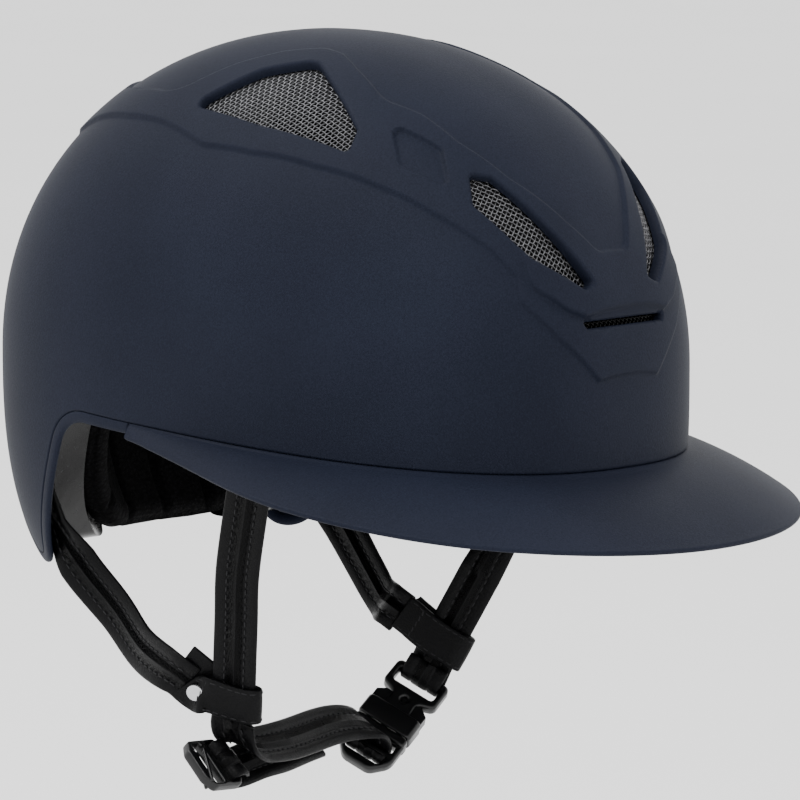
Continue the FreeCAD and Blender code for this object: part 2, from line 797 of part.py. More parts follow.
def plug():
    """Male half without its prongs: shoulder, ladder frame and centre tongue."""
    half = socket_width / 2
    body = box(plug_gap, shoulder, -half, half, -socket_wall / 2 + 0.8, socket_wall / 2 - 0.8)
    arm = strap_width / 2 + 0.6
    for sign in (-1, 1):
        y0, y1 = sorted((sign * arm, sign * half))
        body = body.fuse(box(shoulder - 1, plug_end + bar_radius, y0, y1, -arm_wall / 2, arm_wall / 2))
    body = body.fuse(round_bar(plug_bar)).fuse(round_bar(plug_end))
    body = body.fuse(box(-rail_length, shoulder - 1, -rail_width / 2, rail_width / 2, -1.8, 1.8))
    for sign in (-1, 1):
        hole = Part.makeCylinder(prong_width / 2 + 0.3, socket_wall, V(2.2, sign * prong_offset, -socket_wall / 2), V(0, 0, 1))
        slot = box(-1, 2.2, sign * prong_offset - prong_width / 2 - 0.9, sign * prong_offset + prong_width / 2 + 0.9,
                   -prong_wall / 2 - 0.3, prong_wall / 2 + 0.3)
        body = body.cut(slot).cut(hole.common(box(-9, 9, -99, 99, -prong_wall / 2 - 0.3, prong_wall / 2 + 0.3)))
    return in_buckle(body)


def prong(sign):
    """Springy side arm with a barb that catches in the socket's window."""
    mid = sign * prong_offset
    y0, y1 = mid - prong_width / 2, mid + prong_width / 2
    body = box(-prong_length, 2.2, y0, y1, -prong_wall / 2, prong_wall / 2)
    body = body.fuse(Part.makeCylinder(prong_width / 2, prong_wall, V(2.2, mid, -prong_wall / 2), V(0, 0, 1)))
    edge = mid + sign * prong_width / 2
    barb = [V(-window_start - 0.5, edge, 0), V(-window_start - 0.5, edge + sign * prong_barb, 0),
            V(-window_start - window_length + 1.5, edge + sign * prong_barb, 0), V(-prong_length, edge, 0)]
    wire = Part.makePolygon([p + V(0, 0, -prong_wall / 2) for p in barb + [barb[0]]])
    body = body.fuse(Part.Face(wire).extrude(V(0, 0, prong_wall)))
    return in_buckle(body)


def build():
    os.makedirs("parts", exist_ok=True)
    right_front, left_front = right_front_stations(), left_front_stations()
    right_rear, left_rear = right_rear_stations(), left_rear_stations()
    pockets = []
    for stations, end in ((right_front, 2), (left_front, 2), (right_rear, 3), (left_rear, 3)):
        pockets.append(pocket(stations, end))
    save(outer_shell(), "outer_shell")
    save(impact_liner(pockets), "impact_liner")
    front_cover, rear_cover = liner_cover(pockets)
    save(front_cover, "front_liner_cover")
    save(rear_cover, "rear_liner_cover")
    for name, corners in vents:
        save(vent_mesh(corners), name)
    save(peak(), "peak")
    save(rear_trim(), "rear_edge_trim")
    save(headband(), "headband_pad")
    save(neck_pad(), "neck_pad")
    save(crown_cushion(), "crown_pad")
    save(side_cushion(side_pad), "side_pad_right")
    save(side_cushion(mirrored(side_pad)), "side_pad_left")
    save(fastener_dots(), "pad_fastener_dots")
    save(hung_strap(right_front), "right_front_strap")
    save(left_front_strap(), "left_front_strap")
    save(hung_strap(right_rear), "right_rear_strap")
    save(hung_strap(left_rear), "left_rear_strap")
    save(Part.makeCompound([anchor_rivet(s) for s in (right_front, left_front, right_rear, left_rear)]),
         "strap_anchor_rivets")
    save(yoke(right_yoke_place, right_yoke_frame, right_ear_tilt, True), "right_yoke_loop")
    save(yoke(left_yoke_place, left_yoke_frame, left_ear_tilt, False), "left_yoke_loop")
    save(yoke_rivet(right_yoke_place, right_yoke_frame, right_ear_tilt), "right_yoke_rivet")
    save(chin_strap(), "chin_strap")
    save(tail_strap(), "chin_strap_tail")
    save(adjuster(), "strap_adjuster")
    save(socket(), "buckle_socket")
    save(plug(), "buckle_plug")
    save(prong(1), "buckle_prong_rear")
    save(prong(-1), "buckle_prong_front")


build()
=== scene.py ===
import math
from itertools import chain, product

import bpy
import numpy as np
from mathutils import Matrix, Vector


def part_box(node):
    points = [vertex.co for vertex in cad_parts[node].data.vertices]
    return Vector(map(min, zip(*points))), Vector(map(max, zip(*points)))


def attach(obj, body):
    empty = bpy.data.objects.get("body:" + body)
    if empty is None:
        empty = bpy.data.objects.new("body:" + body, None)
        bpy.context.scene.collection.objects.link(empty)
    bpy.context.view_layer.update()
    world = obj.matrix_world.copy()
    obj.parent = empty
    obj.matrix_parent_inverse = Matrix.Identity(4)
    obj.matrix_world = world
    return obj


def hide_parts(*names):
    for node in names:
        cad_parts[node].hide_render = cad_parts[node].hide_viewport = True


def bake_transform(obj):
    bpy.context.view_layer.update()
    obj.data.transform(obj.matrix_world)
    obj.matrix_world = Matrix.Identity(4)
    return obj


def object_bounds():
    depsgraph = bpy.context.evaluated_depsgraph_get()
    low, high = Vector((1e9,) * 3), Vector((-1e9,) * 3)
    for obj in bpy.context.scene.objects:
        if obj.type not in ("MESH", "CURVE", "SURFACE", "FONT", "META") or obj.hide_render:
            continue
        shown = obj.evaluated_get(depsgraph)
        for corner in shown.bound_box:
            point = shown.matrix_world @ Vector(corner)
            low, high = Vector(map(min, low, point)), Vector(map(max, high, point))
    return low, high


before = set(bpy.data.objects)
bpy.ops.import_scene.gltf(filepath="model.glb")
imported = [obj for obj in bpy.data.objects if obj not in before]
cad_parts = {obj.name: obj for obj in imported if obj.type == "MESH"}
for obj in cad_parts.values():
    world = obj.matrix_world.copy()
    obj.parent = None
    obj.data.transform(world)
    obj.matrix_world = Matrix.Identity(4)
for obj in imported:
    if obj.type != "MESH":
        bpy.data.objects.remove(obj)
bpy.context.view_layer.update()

# Shapes are worked out in millimetres, front at -Y, and turned into metres when a mesh is made.
mm = 0.001
print("frame loaded:", len(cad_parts), "nodes")

# Camera, light and floor

view = {
    "place": (-2.3452, -2.0101, 0.3692),
    "back": (-0.7565, -0.6447, 0.1094),   # from the helmet towards the camera
    "lens": 349.9,
    "sensor": 36,
    "shift": (0.0528, -0.0557),
    "clip": (0.1, 50),
}


def setCamera():
    data = bpy.data.cameras.new("viewCamera")
    camera = bpy.data.objects.new("viewCamera", data)
    bpy.context.scene.collection.objects.link(camera)
    data.sensor_width = view["sensor"]
    data.lens = view["lens"]
    data.shift_x, data.shift_y = view["shift"]
    data.clip_start, data.clip_end = view["clip"]
    camera.location = view["place"]
    camera.rotation_mode = "QUATERNION"
    camera.rotation_quaternion = (-Vector(view["back"])).to_track_quat("-Z", "Y")
    bpy.context.scene.camera = camera


setCamera()

studio = {
    "lights": [   # name, place, size, power
        ("keyLight", (-1.4, -1.1, 2.6), 2.0, 40),
        ("fillLight", (1.9, -2.0, 1.0), 2.0, 8),
        ("rearLight", (-1.1, 1.1, 2.5), 1.8, 46),
    ],
    "aim": (0, 0, 0.03),
    "world": 1.75,
    "floorDrop": 0.16,
    "floorSize": 14.0,
    "floorShade": ((0.86, 0.86, 0.86), (0.9, 0.9, 0.9)),
}


def setStudio():
    for name, place, size, power in studio["lights"]:
        data = bpy.data.lights.new(name, "AREA")
        data.shape, data.size, data.energy = "DISK", size, power
        lamp = bpy.data.objects.new(name, data)
        bpy.context.scene.collection.objects.link(lamp)
        lamp.location = place
        lamp.rotation_mode = "QUATERNION"
        lamp.rotation_quaternion = (Vector(studio["aim"]) - Vector(place)).to_track_quat("-Z", "Y")
    world = bpy.data.worlds.new("paleRoom")
    bpy.context.scene.world = world
    world.use_nodes = True
    sky = world.node_tree.nodes["Background"]
    sky.inputs["Color"].default_value = (1, 1, 1, 1)
    sky.inputs["Strength"].default_value = studio["world"]


setStudio()

# Finishes


# A shader socket that can be added, taken away and multiplied
class Thread:
    def __init__(self, tree, socket=None):
        self.tree, self.socket = tree, socket

    def node(self, kind, settings=None, inputs=None, output=0):
        made = self.tree.nodes.new(kind)
        for name, value in (settings or {}).items():
            if name == "stops":
                ramp = made.color_ramp
                while len(ramp.elements) < len(value):
                    ramp.elements.new(0.5)
                for stop, (place, colour) in zip(ramp.elements, value):
                    stop.position, stop.color = place, colour
            else:
                setattr(made, name, value)
        for name, value in (inputs or {}).items():
            if isinstance(value, Thread):
                self.tree.links.new(value.socket, made.inputs[name])
            else:
                made.inputs[name].default_value = value
        return Thread(self.tree, made.outputs[output] if made.outputs else None)

    def maths(self, operation, a, b):
        return self.node("ShaderNodeMath", {"operation": operation}, {0: a, 1: b})

    def __add__(self, other):
        return self.maths("ADD", self, other)

    def __radd__(self, other):
        return self.maths("ADD", other, self)

    def __sub__(self, other):
        return self.maths("SUBTRACT", self, other)

    def __rsub__(self, other):
        return self.maths("SUBTRACT", other, self)

    def __mul__(self, other):
        return self.maths("MULTIPLY", self, other)

    def __rmul__(self, other):
        return self.maths("MULTIPLY", other, self)

    def between(self, low, high):
        return self.node("ShaderNodeMapRange", {"interpolation_type": "SMOOTHSTEP"},
                         {"Value": self, "From Min": low, "From Max": high})

    def colours(self, dark, light):
        return self.node("ShaderNodeMix", {"data_type": "RGBA"}, {0: self, 6: (*dark, 1), 7: (*light, 1)}, 2)


def startFinish(name):
    material = bpy.data.materials.new(name)
    material.use_nodes = True
    material.node_tree.nodes.clear()
    return material, Thread(material.node_tree)


def endFinish(material, thread, colour, roughness, bump=None, distance=0.0002, strength=1.0, **fixed):
    inputs = {"Base Color": colour, "Roughness": roughness}
    if bump is not None:
        inputs["Normal"] = thread.node("ShaderNodeBump", {},
                                       {"Height": bump, "Distance": distance, "Strength": strength})
    inputs.update({name.replace("_", " "): value for name, value in fixed.items()})
    shader = thread.node("ShaderNodeBsdfPrincipled", {}, inputs)
    thread.node("ShaderNodeOutputMaterial", {}, {"Surface": shader})
    return material


def place(thread):
    return thread.node("ShaderNodeTexCoord", {}, {}, "Object")


def noise(thread, where, scale, detail=2.0, rough=0.5):
    return thread.node("ShaderNodeTexNoise", {},
                       {"Vector": where, "Scale": scale, "Detail": detail, "Roughness": rough})


def cells(thread, where, scale, kind="F1"):
    return thread.node("ShaderNodeTexVoronoi", {"feature": kind},
                       {"Vector": where, "Scale": scale}, "Distance")


def shaded(colour, share):
    return tuple(c * share for c in colour)


# Matt paint with a fine grain and painted glints: small bright specks of painted highlight in the base colour
def softTouchPaint(name, dark, light, roughness):
    material, t = startFinish(name)
    where = place(t)
    cloud = noise(t, where, 14, 3)
    grain = noise(t, where, 1500, 2, 0.7)
    glintSpecks = cells(t, where, 2100).between(0.16, 0.05) * noise(t, where, 700, 1).between(0.5, 0.72)
    shade = cloud * 0.35 + grain * 0.65
    base = shade.between(0.3, 0.72).colours(dark, light)
    # painted highlight: the specks get a colour over three times the light tone
    glint = shaded(light, 3.4)
    base = t.node("ShaderNodeMix", {"data_type": "RGBA"}, {0: glintSpecks * 0.8, 6: base, 7: (*glint, 1)}, 2)
    return endFinish(material, t, base, roughness - grain * 0.12, grain + cells(t, where, 900) * 0.5, 0.00005,
                     Specular_IOR_Level=0.06)


def glossBlack(name, colour, roughness, coat):
    material, t = startFinish(name)
    where = place(t)
    wave = noise(t, where, 60, 2)
    mark = noise(t, where, 420, 3)
    base = mark.colours(shaded(colour, 0.7), shaded(colour, 1.3))
    return endFinish(material, t, base, roughness + mark.between(0.55, 0.8) * 0.12, wave, 0.0004, 0.5,
                     Coat_Weight=coat, Coat_Roughness=0.06, Specular_IOR_Level=0.2)


def beadFoam(name, colour):
    material, t = startFinish(name)
    where = place(t)
    bead = cells(t, where, 330)
    base = bead.colours(shaded(colour, 1.5), shaded(colour, 0.55))
    return endFinish(material, t, base, 0.72 + bead * 0.2, 1 - bead, 0.0006, Specular_IOR_Level=0.2)


def wireMetal(name, dark, light, roughness):
    material, t = startFinish(name)
    where = place(t)
    patch = noise(t, where, 300, 3)
    grain = noise(t, where, 4000, 1)
    return endFinish(material, t, patch.colours(dark, light), roughness + patch * 0.15, grain, 0.00002,
                     Metallic=0.9)


def towelling(name, dark, light, scale):
    material, t = startFinish(name)
    where = place(t)
    loop = cells(t, where, scale)
    fluff = noise(t, where, scale * 3, 3, 0.7)
    mixed = loop * 0.8 + fluff * 0.5
    return endFinish(material, t, mixed.between(0.2, 0.85).colours(light, dark), 0.95 - fluff * 0.1,
                     1 - mixed, 0.0009, Specular_IOR_Level=0.06)


def grainedLeather(name, dark, light, roughness):
    material, t = startFinish(name)
    where = place(t)
    stray = t.node("ShaderNodeTexNoise", {}, {"Vector": where, "Scale": 700.0}, 1)
    stray = t.node("ShaderNodeVectorMath", {"operation": "SCALE"}, {0: stray, "Scale": 0.0012})
    warped = t.node("ShaderNodeVectorMath", {"operation": "ADD"}, {0: where, 1: stray})
    pebble = cells(t, warped, 850)
    crease = cells(t, warped, 850, "DISTANCE_TO_EDGE").between(0.0, 0.14)
    wear = noise(t, where, 45, 4, 0.6)
    base = (crease * 0.55 + wear * 0.45).colours(dark, light)
    return endFinish(material, t, base, roughness + (1 - crease) * 0.2 - wear.between(0.5, 0.8) * 0.1,
                     crease * 0.7 + (1 - pebble) * 0.5, 0.00012, 0.7, Specular_IOR_Level=0.09)


def threadCotton(name, colour):
    material, t = startFinish(name)
    where = place(t)
    strand = noise(t, where, 2600, 2, 0.6)
    return endFinish(material, t, strand.colours(shaded(colour, 0.6), shaded(colour, 1.5)),
                     0.55 + strand * 0.2, strand, 0.0001, Specular_IOR_Level=0.2)


def mouldedPlastic(name, colour, roughness):
    material, t = startFinish(name)
    where = place(t)
    pore = noise(t, where, 2400, 2, 0.6)
    haze = noise(t, where, 90, 3)
    base = haze.colours(shaded(colour, 0.75), shaded(colour, 1.25))
    return endFinish(material, t, base, roughness + haze * 0.12, pore, 0.00006, Specular_IOR_Level=0.35)


finish = {
    "shell": softTouchPaint("softTouchNavy", (0.0052, 0.0066, 0.0128), (0.0102, 0.0126, 0.0226), 0.62),
    # painted light: the peak gets the shell paint made a little lighter
    "peak": softTouchPaint("softTouchPeakLit", (0.0056, 0.007, 0.0134), (0.0108, 0.0132, 0.0236), 0.62),
    "foam": beadFoam("blackBeadFoam", (0.0035, 0.0035, 0.004)),
    "gloss": glossBlack("glossEdgeCover", (0.0012, 0.0012, 0.0014), 0.22, 0.04),
    "wire": wireMetal("ventWire", (0.05, 0.05, 0.054), (0.2, 0.2, 0.21), 0.3),
    "hook": towelling("hookAndLoop", (0.003, 0.003, 0.003), (0.009, 0.009, 0.01), 1300),
    "pad": towelling("towellingPad", (0.0006, 0.0006, 0.0007), (0.0042, 0.0042, 0.0048), 620),
    "rivet": wireMetal("rivetSteel", (0.42, 0.42, 0.43), (0.66, 0.66, 0.67), 0.24),
    "plastic": mouldedPlastic("buckleBlack", (0.0014, 0.0015, 0.0018), 0.26),
    "leather": grainedLeather("strapLeather", (0.0007, 0.0007, 0.0009), (0.0024, 0.0024, 0.0028), 0.33),
    "thread": threadCotton("blackThread", (0.008, 0.008, 0.009)),
}
print("finishes made:", len(finish))

# Helpers


def unit(v):
    v = np.asarray(v, float)
    return v / np.linalg.norm(v, axis=-1, keepdims=True)


def smooth(x):
    x = np.clip(x, 0, 1)
    return x * x * (3 - 2 * x)


# marks gives the number of the material of each face
def makePiece(name, points, faces, materials, body, replaced, marks=None):
    mesh = bpy.data.meshes.new(name)
    mesh.from_pydata((np.asarray(points) * mm).tolist(), [], faces)
    for material in materials:
        mesh.materials.append(material)
    mesh.shade_smooth()
    if marks is not None:
        mesh.polygons.foreach_set("material_index", marks)
    mesh.update()
    piece = bpy.data.objects.new(name, mesh)
    bpy.context.scene.collection.objects.link(piece)
    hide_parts(*replaced)
    if body:
        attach(piece, body)
    return piece


# Squares between the points of a grid; a closed one also joins its last column to its first
def sheetFaces(rows, columns, base=0, closed=False):
    i = np.arange(rows - 1)[:, None]
    j = np.arange(columns if closed else columns - 1)[None, :]
    after = (j + 1) % columns
    quads = [i * columns + j, i * columns + after, (i + 1) * columns + after, (i + 1) * columns + j]
    return (np.stack(quads, -1).reshape(-1, 4) + base).tolist()


# The two end faces of a closed grid
def endFaces(rows, columns, base=0):
    last = base + (rows - 1) * columns
    return [list(range(base, base + columns)), list(range(last, last + columns))[::-1]]


# The dome that shell, peak and pads follow

dome = {
    "halfWidth": 105.5, "frontReach": 149.5, "rearReach": 140.0, "ringHeight": 30.0, "crownRise": 130.0,
    "skirtDrop": 138.0, "planPower": 2.45, "crownPower": 2.08, "frontSkirt": 3.1, "rearSkirt": 2.6,
    "nudge": 0.02, "polarRange": (40, 172), "halvings": 30,
}


# 1 on the dome, less inside it
def domeLevel(p):
    x, y, z = p[..., 0], p[..., 1], p[..., 2]
    lean = 0.5 + 0.5 * y / np.maximum(np.hypot(x, y), 1e-9)
    reach = dome["frontReach"] * (1 - lean) + dome["rearReach"] * lean
    high = np.where(z > 0, dome["crownRise"], dome["skirtDrop"])
    power = np.where(z > 0, dome["crownPower"], dome["frontSkirt"] * (1 - lean) + dome["rearSkirt"] * lean)
    flat = dome["planPower"]
    plan = (np.abs(x / dome["halfWidth"]) ** flat + np.abs(y / reach) ** flat) ** (1 / flat)
    return (plan ** power + np.abs(z / high) ** power) ** (1 / power)


def domeNormal(way):
    p = way / domeLevel(way)[..., None]
    slope = []
    for axis in range(3):
        step = np.zeros(3)
        step[axis] = dome["nudge"]
        slope.append(domeLevel(p + step) - domeLevel(p - step))
    return unit(np.stack(slope, -1))


# A point on the dome in a direction from its middle, moved inwards by the inset
def domePoint(way, inset=0.0):
    inset = np.asarray(inset, float)
    p = way / domeLevel(way)[..., None] - domeNormal(way) * inset[..., None]
    p[..., 2] += dome["ringHeight"]
    return p


def wayOf(lon, lat):
    a, b = np.radians(lon), np.radians(lat)
    return np.stack([np.sin(a) * np.cos(b), -np.cos(a) * np.cos(b), np.sin(b)], -1)


def wayFrom(polar, lon):
    return np.stack([np.sin(polar) * np.sin(lon), -np.sin(polar) * np.cos(lon), np.cos(polar)], -1)


# Points along a path of corners, each with its radius
def roundedPath(corners, step, closed=True):
    path = []
    count = len(corners)
    for k, (a, b, radius) in enumerate(corners):
        here = np.array((a, b), float)
        if not closed and k in (0, count - 1):
            path.append(here)
            continue
        into = np.array(corners[k - 1][:2]) - here
        out = np.array(corners[(k + 1) % count][:2]) - here
        sizes = np.linalg.norm(into), np.linalg.norm(out)
        into, out = into / sizes[0], out / sizes[1]
        half = math.asin(min(1.0, np.linalg.norm(into - out) / 2))
        cut = min(radius / math.tan(half), 0.48 * min(sizes))
        radius = cut * math.tan(half)
        middle = into + out
        size = np.linalg.norm(middle)
        if radius < 0.01 or size < 1e-6:
            path.append(here)
            continue
        centre = here + middle / size * radius / math.sin(half)
        start, end = here + into * cut - centre, here + out * cut - centre
        first = math.atan2(start[1], start[0])
        turn = (math.atan2(end[1], end[0]) - first + math.pi) % (2 * math.pi) - math.pi
        parts = max(2, math.ceil(abs(turn) * radius / step))
        for i in range(parts + 1):
            angle = first + turn * i / parts
            path.append(centre + radius * np.array((math.cos(angle), math.sin(angle))))
    dense = []
    ends = path[1:] + [path[0]] if closed else path[1:]
    for p, q in zip(path, ends):
        parts = max(1, math.ceil(np.linalg.norm(q - p) / step))
        dense += [p + (q - p) * i / parts for i in range(parts)]
    if not closed:
        dense.append(path[-1])
    return np.array(dense)


rim = {
    "level": 9.5, "slope": 0.085, "archY": 58.0, "archRadius": 21.0,
    "tipY": 89.0, "tipZ": -54.0, "tipRadius": 6.0,
    "napeY": 122.0, "napeZ": -22.0, "napeRadius": 16.0, "far": 260, "step": 0.5, "leanBack": 0.45,
}


def rimHeight(y):
    return rim["level"] + rim["slope"] * y


rimLine = roundedPath([(-rim["far"], rimHeight(-rim["far"]), 0),
                       (rim["archY"], rimHeight(rim["archY"]), rim["archRadius"]),
                       (rim["tipY"], rim["tipZ"], rim["tipRadius"]),
                       (rim["napeY"], rim["napeZ"], rim["napeRadius"]),
                       (rim["far"], rim["napeZ"], 0)], rim["step"], closed=False)


def aboveRim(p, lift=0.0):
    return p[..., 2] - lift - np.interp(p[..., 1] - rim["leanBack"] * lift, rimLine[:, 0], rimLine[:, 1])


# How far down from the crown a test turns false, for each direction round
def polarAt(lon, inset, test):
    low, high = (np.full(lon.shape, math.radians(end)) for end in dome["polarRange"])
    for _ in range(dome["halvings"]):
        mid = (low + high) / 2
        ok = test(domePoint(wayFrom(mid, lon), inset)) > 0
        low, high = np.where(ok, mid, low), np.where(ok, high, mid)
    return (low + high) / 2


# Shell: relief, vents and rolled rim

shell = {
    "cells": 168,            # coarse squares from side to side
    "split": 4,              # fine squares in a coarse one, beside an edge
    "near": 5.6,             # how far from an edge the squares are split
    "faraway": 9.0,
    "snap": 0.55,            # points this near to a vent's edge are moved onto it
    "wall": 2.6,
    "bandRise": 1.3,
    "bandSoft": 1.0,
    "crownSoft": 0.8,
    "lipRise": 2.6,
    "lipSoft": 0.7,
    "lipFade": (10, 15),     # degrees up where the lip starts to fade, and over how many
    "holeRoll": 1.1,
    "rollDepth": 0.8,
    "recess": 1.7,
    "recessSoft": 0.35,
    "recessAt": (-36, 36),   # degrees round and up where the recess is shallow
    "recessRamp": (0.3, 14, 0.25),
    "rimRoll": ((0.25, 0.45), (0.8, 0.7), (1.8, 0.7), (2.35, 0.45), (2.6, 0.0), (2.6, -9.0)),
    # Corners: degrees round from the front, degrees up, corner radius
    "rearVent": [(-103, 56, 3), (-84, 66.5, 10), (-58, 68, 7), (-44, 47, 3), (-46.5, 42.5, 2), (-72, 52, 30)],
    "frontVent": [(-23.5, 34.5, 2), (-19.5, 33.5, 3), (-6.5, 15, 1.5), (-8.5, 14, 1.5), (-17, 19.5, 8),
                  (-24.5, 29, 2)],
    "browSlit": [(-9.5, 9.4, 0.5), (9.5, 9.4, 0.5), (8.8, 8.4, 0.5), (-8.8, 8.4, 0.5)],
    "rhomb": [(-36, 47, 1.2), (-27, 40, 1.2), (-28, 32, 1.2), (-36, 38, 1.2)],
    "bandEdge": [(-180, 35, 12), (-152, 39, 8), (-144, 44, 8), (-127, 49, 10), (-110, 51, 10), (-90, 48, 10),
                 (-72, 46, 10), (-54, 41, 8), (-41, 35, 8), (-31, 28, 6), (-23, 21, 1.5), (-20, 17, 1.5),
                 (-20, 13, 1.5), (-14, 7, 3), (-7, 0.5, 2)],
    "crownEdge": [(-180, 49, 8), (-150, 51, 7), (-136, 54, 6), (-116, 57, 8), (-102, 68, 8), (-81, 73, 6),
                  (-55, 73, 4), (-46, 70, 3), (-41, 63, 5), (-36, 53, 6), (-28, 48, 6), (-23, 41, 5),
                  (-16, 33, 5), (-8, 25, 3), (-3.5, 19.5, 3)],
    "lip": [(-19, 27, 4), (-18, 15, 3), (-12.5, 11.2, 2), (-9.5, 10, 1.5)],
}


def mirrored(corners):
    return [(-lon, lat, radius) for lon, lat, radius in reversed(corners)]


# A flat plane in front of a vent, touching the dome
def planeOf(corners):
    ways = wayOf(*np.array(corners)[:, :2].T)
    main = unit(ways.sum(0))
    side = unit(np.cross(main, (0, 0, 1) if abs(main[2]) < 0.95 else (0, 1, 0)))
    rise = np.cross(side, main)
    return main, side, rise, 1 / domeLevel(main)


# A vent's outline, rounded on that plane, as directions and as flat points
def holePath(corners, step=0.4, grow=1.0):
    main, side, rise, depth = planeOf(corners)
    ways = wayOf(*np.array(corners)[:, :2].T)
    flat = np.stack([depth * ways @ side / (ways @ main), depth * ways @ rise / (ways @ main)], -1)
    middle = flat.mean(0)
    flat = middle + (flat - middle) * grow
    path = roundedPath([(*p, c[2] * grow) for p, c in zip(flat, corners)], step)
    return unit(main * depth + path[:, :1] * side + path[:, 1:] * rise), path


# An outline on the crown, rounded on a map seen from above
def topPath(corners, step=0.35):
    flat = [((90 - lat) * math.sin(math.radians(lon)), (90 - lat) * math.cos(math.radians(lon)), radius)
            for lon, lat, radius in corners]
    path = roundedPath(flat, step)
    return wayFrom(np.radians(np.hypot(*path.T)), np.arctan2(path[:, 0], path[:, 1]))


def bothSides(corners):
    return corners + [corner for corner in mirrored(corners) if 0 < corner[0] < 180]


# That map: degrees down from the crown, laid out round it
def topFlat(way):
    polar = np.degrees(np.arccos(np.clip(way[..., 2], -1, 1)))
    lon = np.arctan2(way[..., 0], -way[..., 1])
    return np.stack([polar * np.sin(lon), polar * np.cos(lon)], -1)


# A closed edge on the shell
class Outline:
    def __init__(self, ways):
        self.ways = ways
        self.points = domePoint(ways)
        self.flat = topFlat(ways)

    def inside(self, ways):
        p = topFlat(ways)
        a, b = self.flat, np.roll(self.flat, -1, 0)
        result = np.zeros(len(p), bool)
        some = np.all((p >= a.min(0)) & (p <= a.max(0)), 1)
        q = p[some]
        odd = np.zeros(len(q), bool)
        for (ax, ay), (bx, by) in zip(a, b):
            if ay != by:
                crosses = (ay > q[:, 1]) != (by > q[:, 1])
                odd ^= crosses & (q[:, 0] < ax + (q[:, 1] - ay) * (bx - ax) / (by - ay))
        result[some] = odd
        return result

    # How far each point is from the edge, and where along the edge that is
    def distance(self, points):
        a, b = self.points, np.roll(self.points, -1, 0)
        run = b - a
        size = (run ** 2).sum(1)
        best, where = np.zeros(len(points)), np.zeros(len(points))
        batch = 2000
        for start in range(0, len(points), batch):
            p = points[start:start + batch]
            t = np.clip(((p[:, None] - a) * run).sum(-1) / size, 0, 1)
            d = ((p[:, None] - a - t[..., None] * run) ** 2).sum(-1)
            k = d.argmin(1)
            rows = np.arange(len(p))
            best[start:start + batch] = np.sqrt(d[rows, k])
            where[start:start + batch] = k + t[rows, k]
        return best, where

    def wayAt(self, where):
        k = where.astype(int)
        share = (where - k)[:, None]
        return unit(self.ways[k] * (1 - share) + self.ways[(k + 1) % len(self.ways)] * share)


def shellOutlines():
    made = {}
    for name, key in (("rear", "rearVent"), ("front", "frontVent")):
        made[name + "Right"] = Outline(holePath(shell[key])[0])
        made[name + "Left"] = Outline(holePath(mirrored(shell[key]))[0])
    made["brow"] = Outline(holePath(shell["browSlit"])[0])
    made["rhombRight"] = Outline(topPath(shell["rhomb"]))
    made["rhombLeft"] = Outline(topPath(mirrored(shell["rhomb"])))
    made["band"] = Outline(topPath(bothSides(shell["bandEdge"])))
    made["crown"] = Outline(topPath(bothSides(shell["crownEdge"])))
    made["lip"] = Outline(topPath(shell["lip"] + mirrored(shell["lip"])))
    return made


holes = ("rearRight", "rearLeft", "frontRight", "frontLeft", "brow")


# The step up from outside an edge to inside it
def stepAt(signed, soft):
    return smooth(0.5 + signed / (2 * soft))


# How far the shell stands out from the dome: band, crown, lip, recesses and rolled vent edges
def shellHeight(ways, signed):
    band, crown = stepAt(signed["band"], shell["bandSoft"]), stepAt(signed["crown"], shell["crownSoft"])
    height = shell["bandRise"] * band * (1 - crown)
    lat = np.degrees(np.arcsin(ways[:, 2]))
    fadeFrom, fadeOver = shell["lipFade"]
    fade = np.clip(1 - (lat - fadeFrom) / fadeOver, 0, 1)
    height += shell["lipRise"] * stepAt(signed["lip"], shell["lipSoft"]) * fade
    lon = np.degrees(np.arctan2(ways[:, 0], -ways[:, 1]))
    recessLon, recessLat = shell["recessAt"]
    start, over, least = shell["recessRamp"]
    for side, name in ((1, "rhombRight"), (-1, "rhombLeft")):
        ramp = np.clip(start + ((lat - recessLat) + (lon * side - recessLon)) / over, least, 1)
        height -= shell["recess"] * stepAt(signed[name], shell["recessSoft"]) * ramp
    for name in holes:
        gap = np.clip(-signed[name] / shell["holeRoll"], 0, 1)
        height -= shell["rollDepth"] * shell["holeRoll"] * (1 - np.sqrt(1 - (1 - gap) ** 2))
    return height


# A round grid of directions from the crown to the rim, made from a square one
def roundGrid(count):
    line = np.linspace(-1, 1, count + 1)
    u, v = np.meshgrid(line, line, indexing="ij")
    a, b = u * np.sqrt(1 - v * v / 2), v * np.sqrt(1 - u * u / 2)
    return np.hypot(a, b), np.arctan2(a, b)


# Signed distances at the corners of the coarse squares, and which squares lie near each outline
def coarseDistances(outlines, ways, count):
    corner = ways[::shell["split"], ::shell["split"]].reshape(-1, 3)
    points = domePoint(corner)
    signed, near = {}, {}
    for name, outline in outlines.items():
        low, high = outline.points.min(0) - shell["near"], outline.points.max(0) + shell["near"]
        some = np.all((points > low) & (points < high), 1)
        distance = np.full(len(corner), shell["faraway"])
        distance[some] = np.minimum(shell["faraway"], outline.distance(points[some])[0])
        signed[name] = np.where(outline.inside(corner), distance, -distance).reshape(count + 1, count + 1)
        d = np.abs(signed[name])
        nearest = np.minimum(np.minimum(d[:-1, :-1], d[1:, :-1]), np.minimum(d[:-1, 1:], d[1:, 1:]))
        near[name] = nearest < shell["near"]
    return signed, near


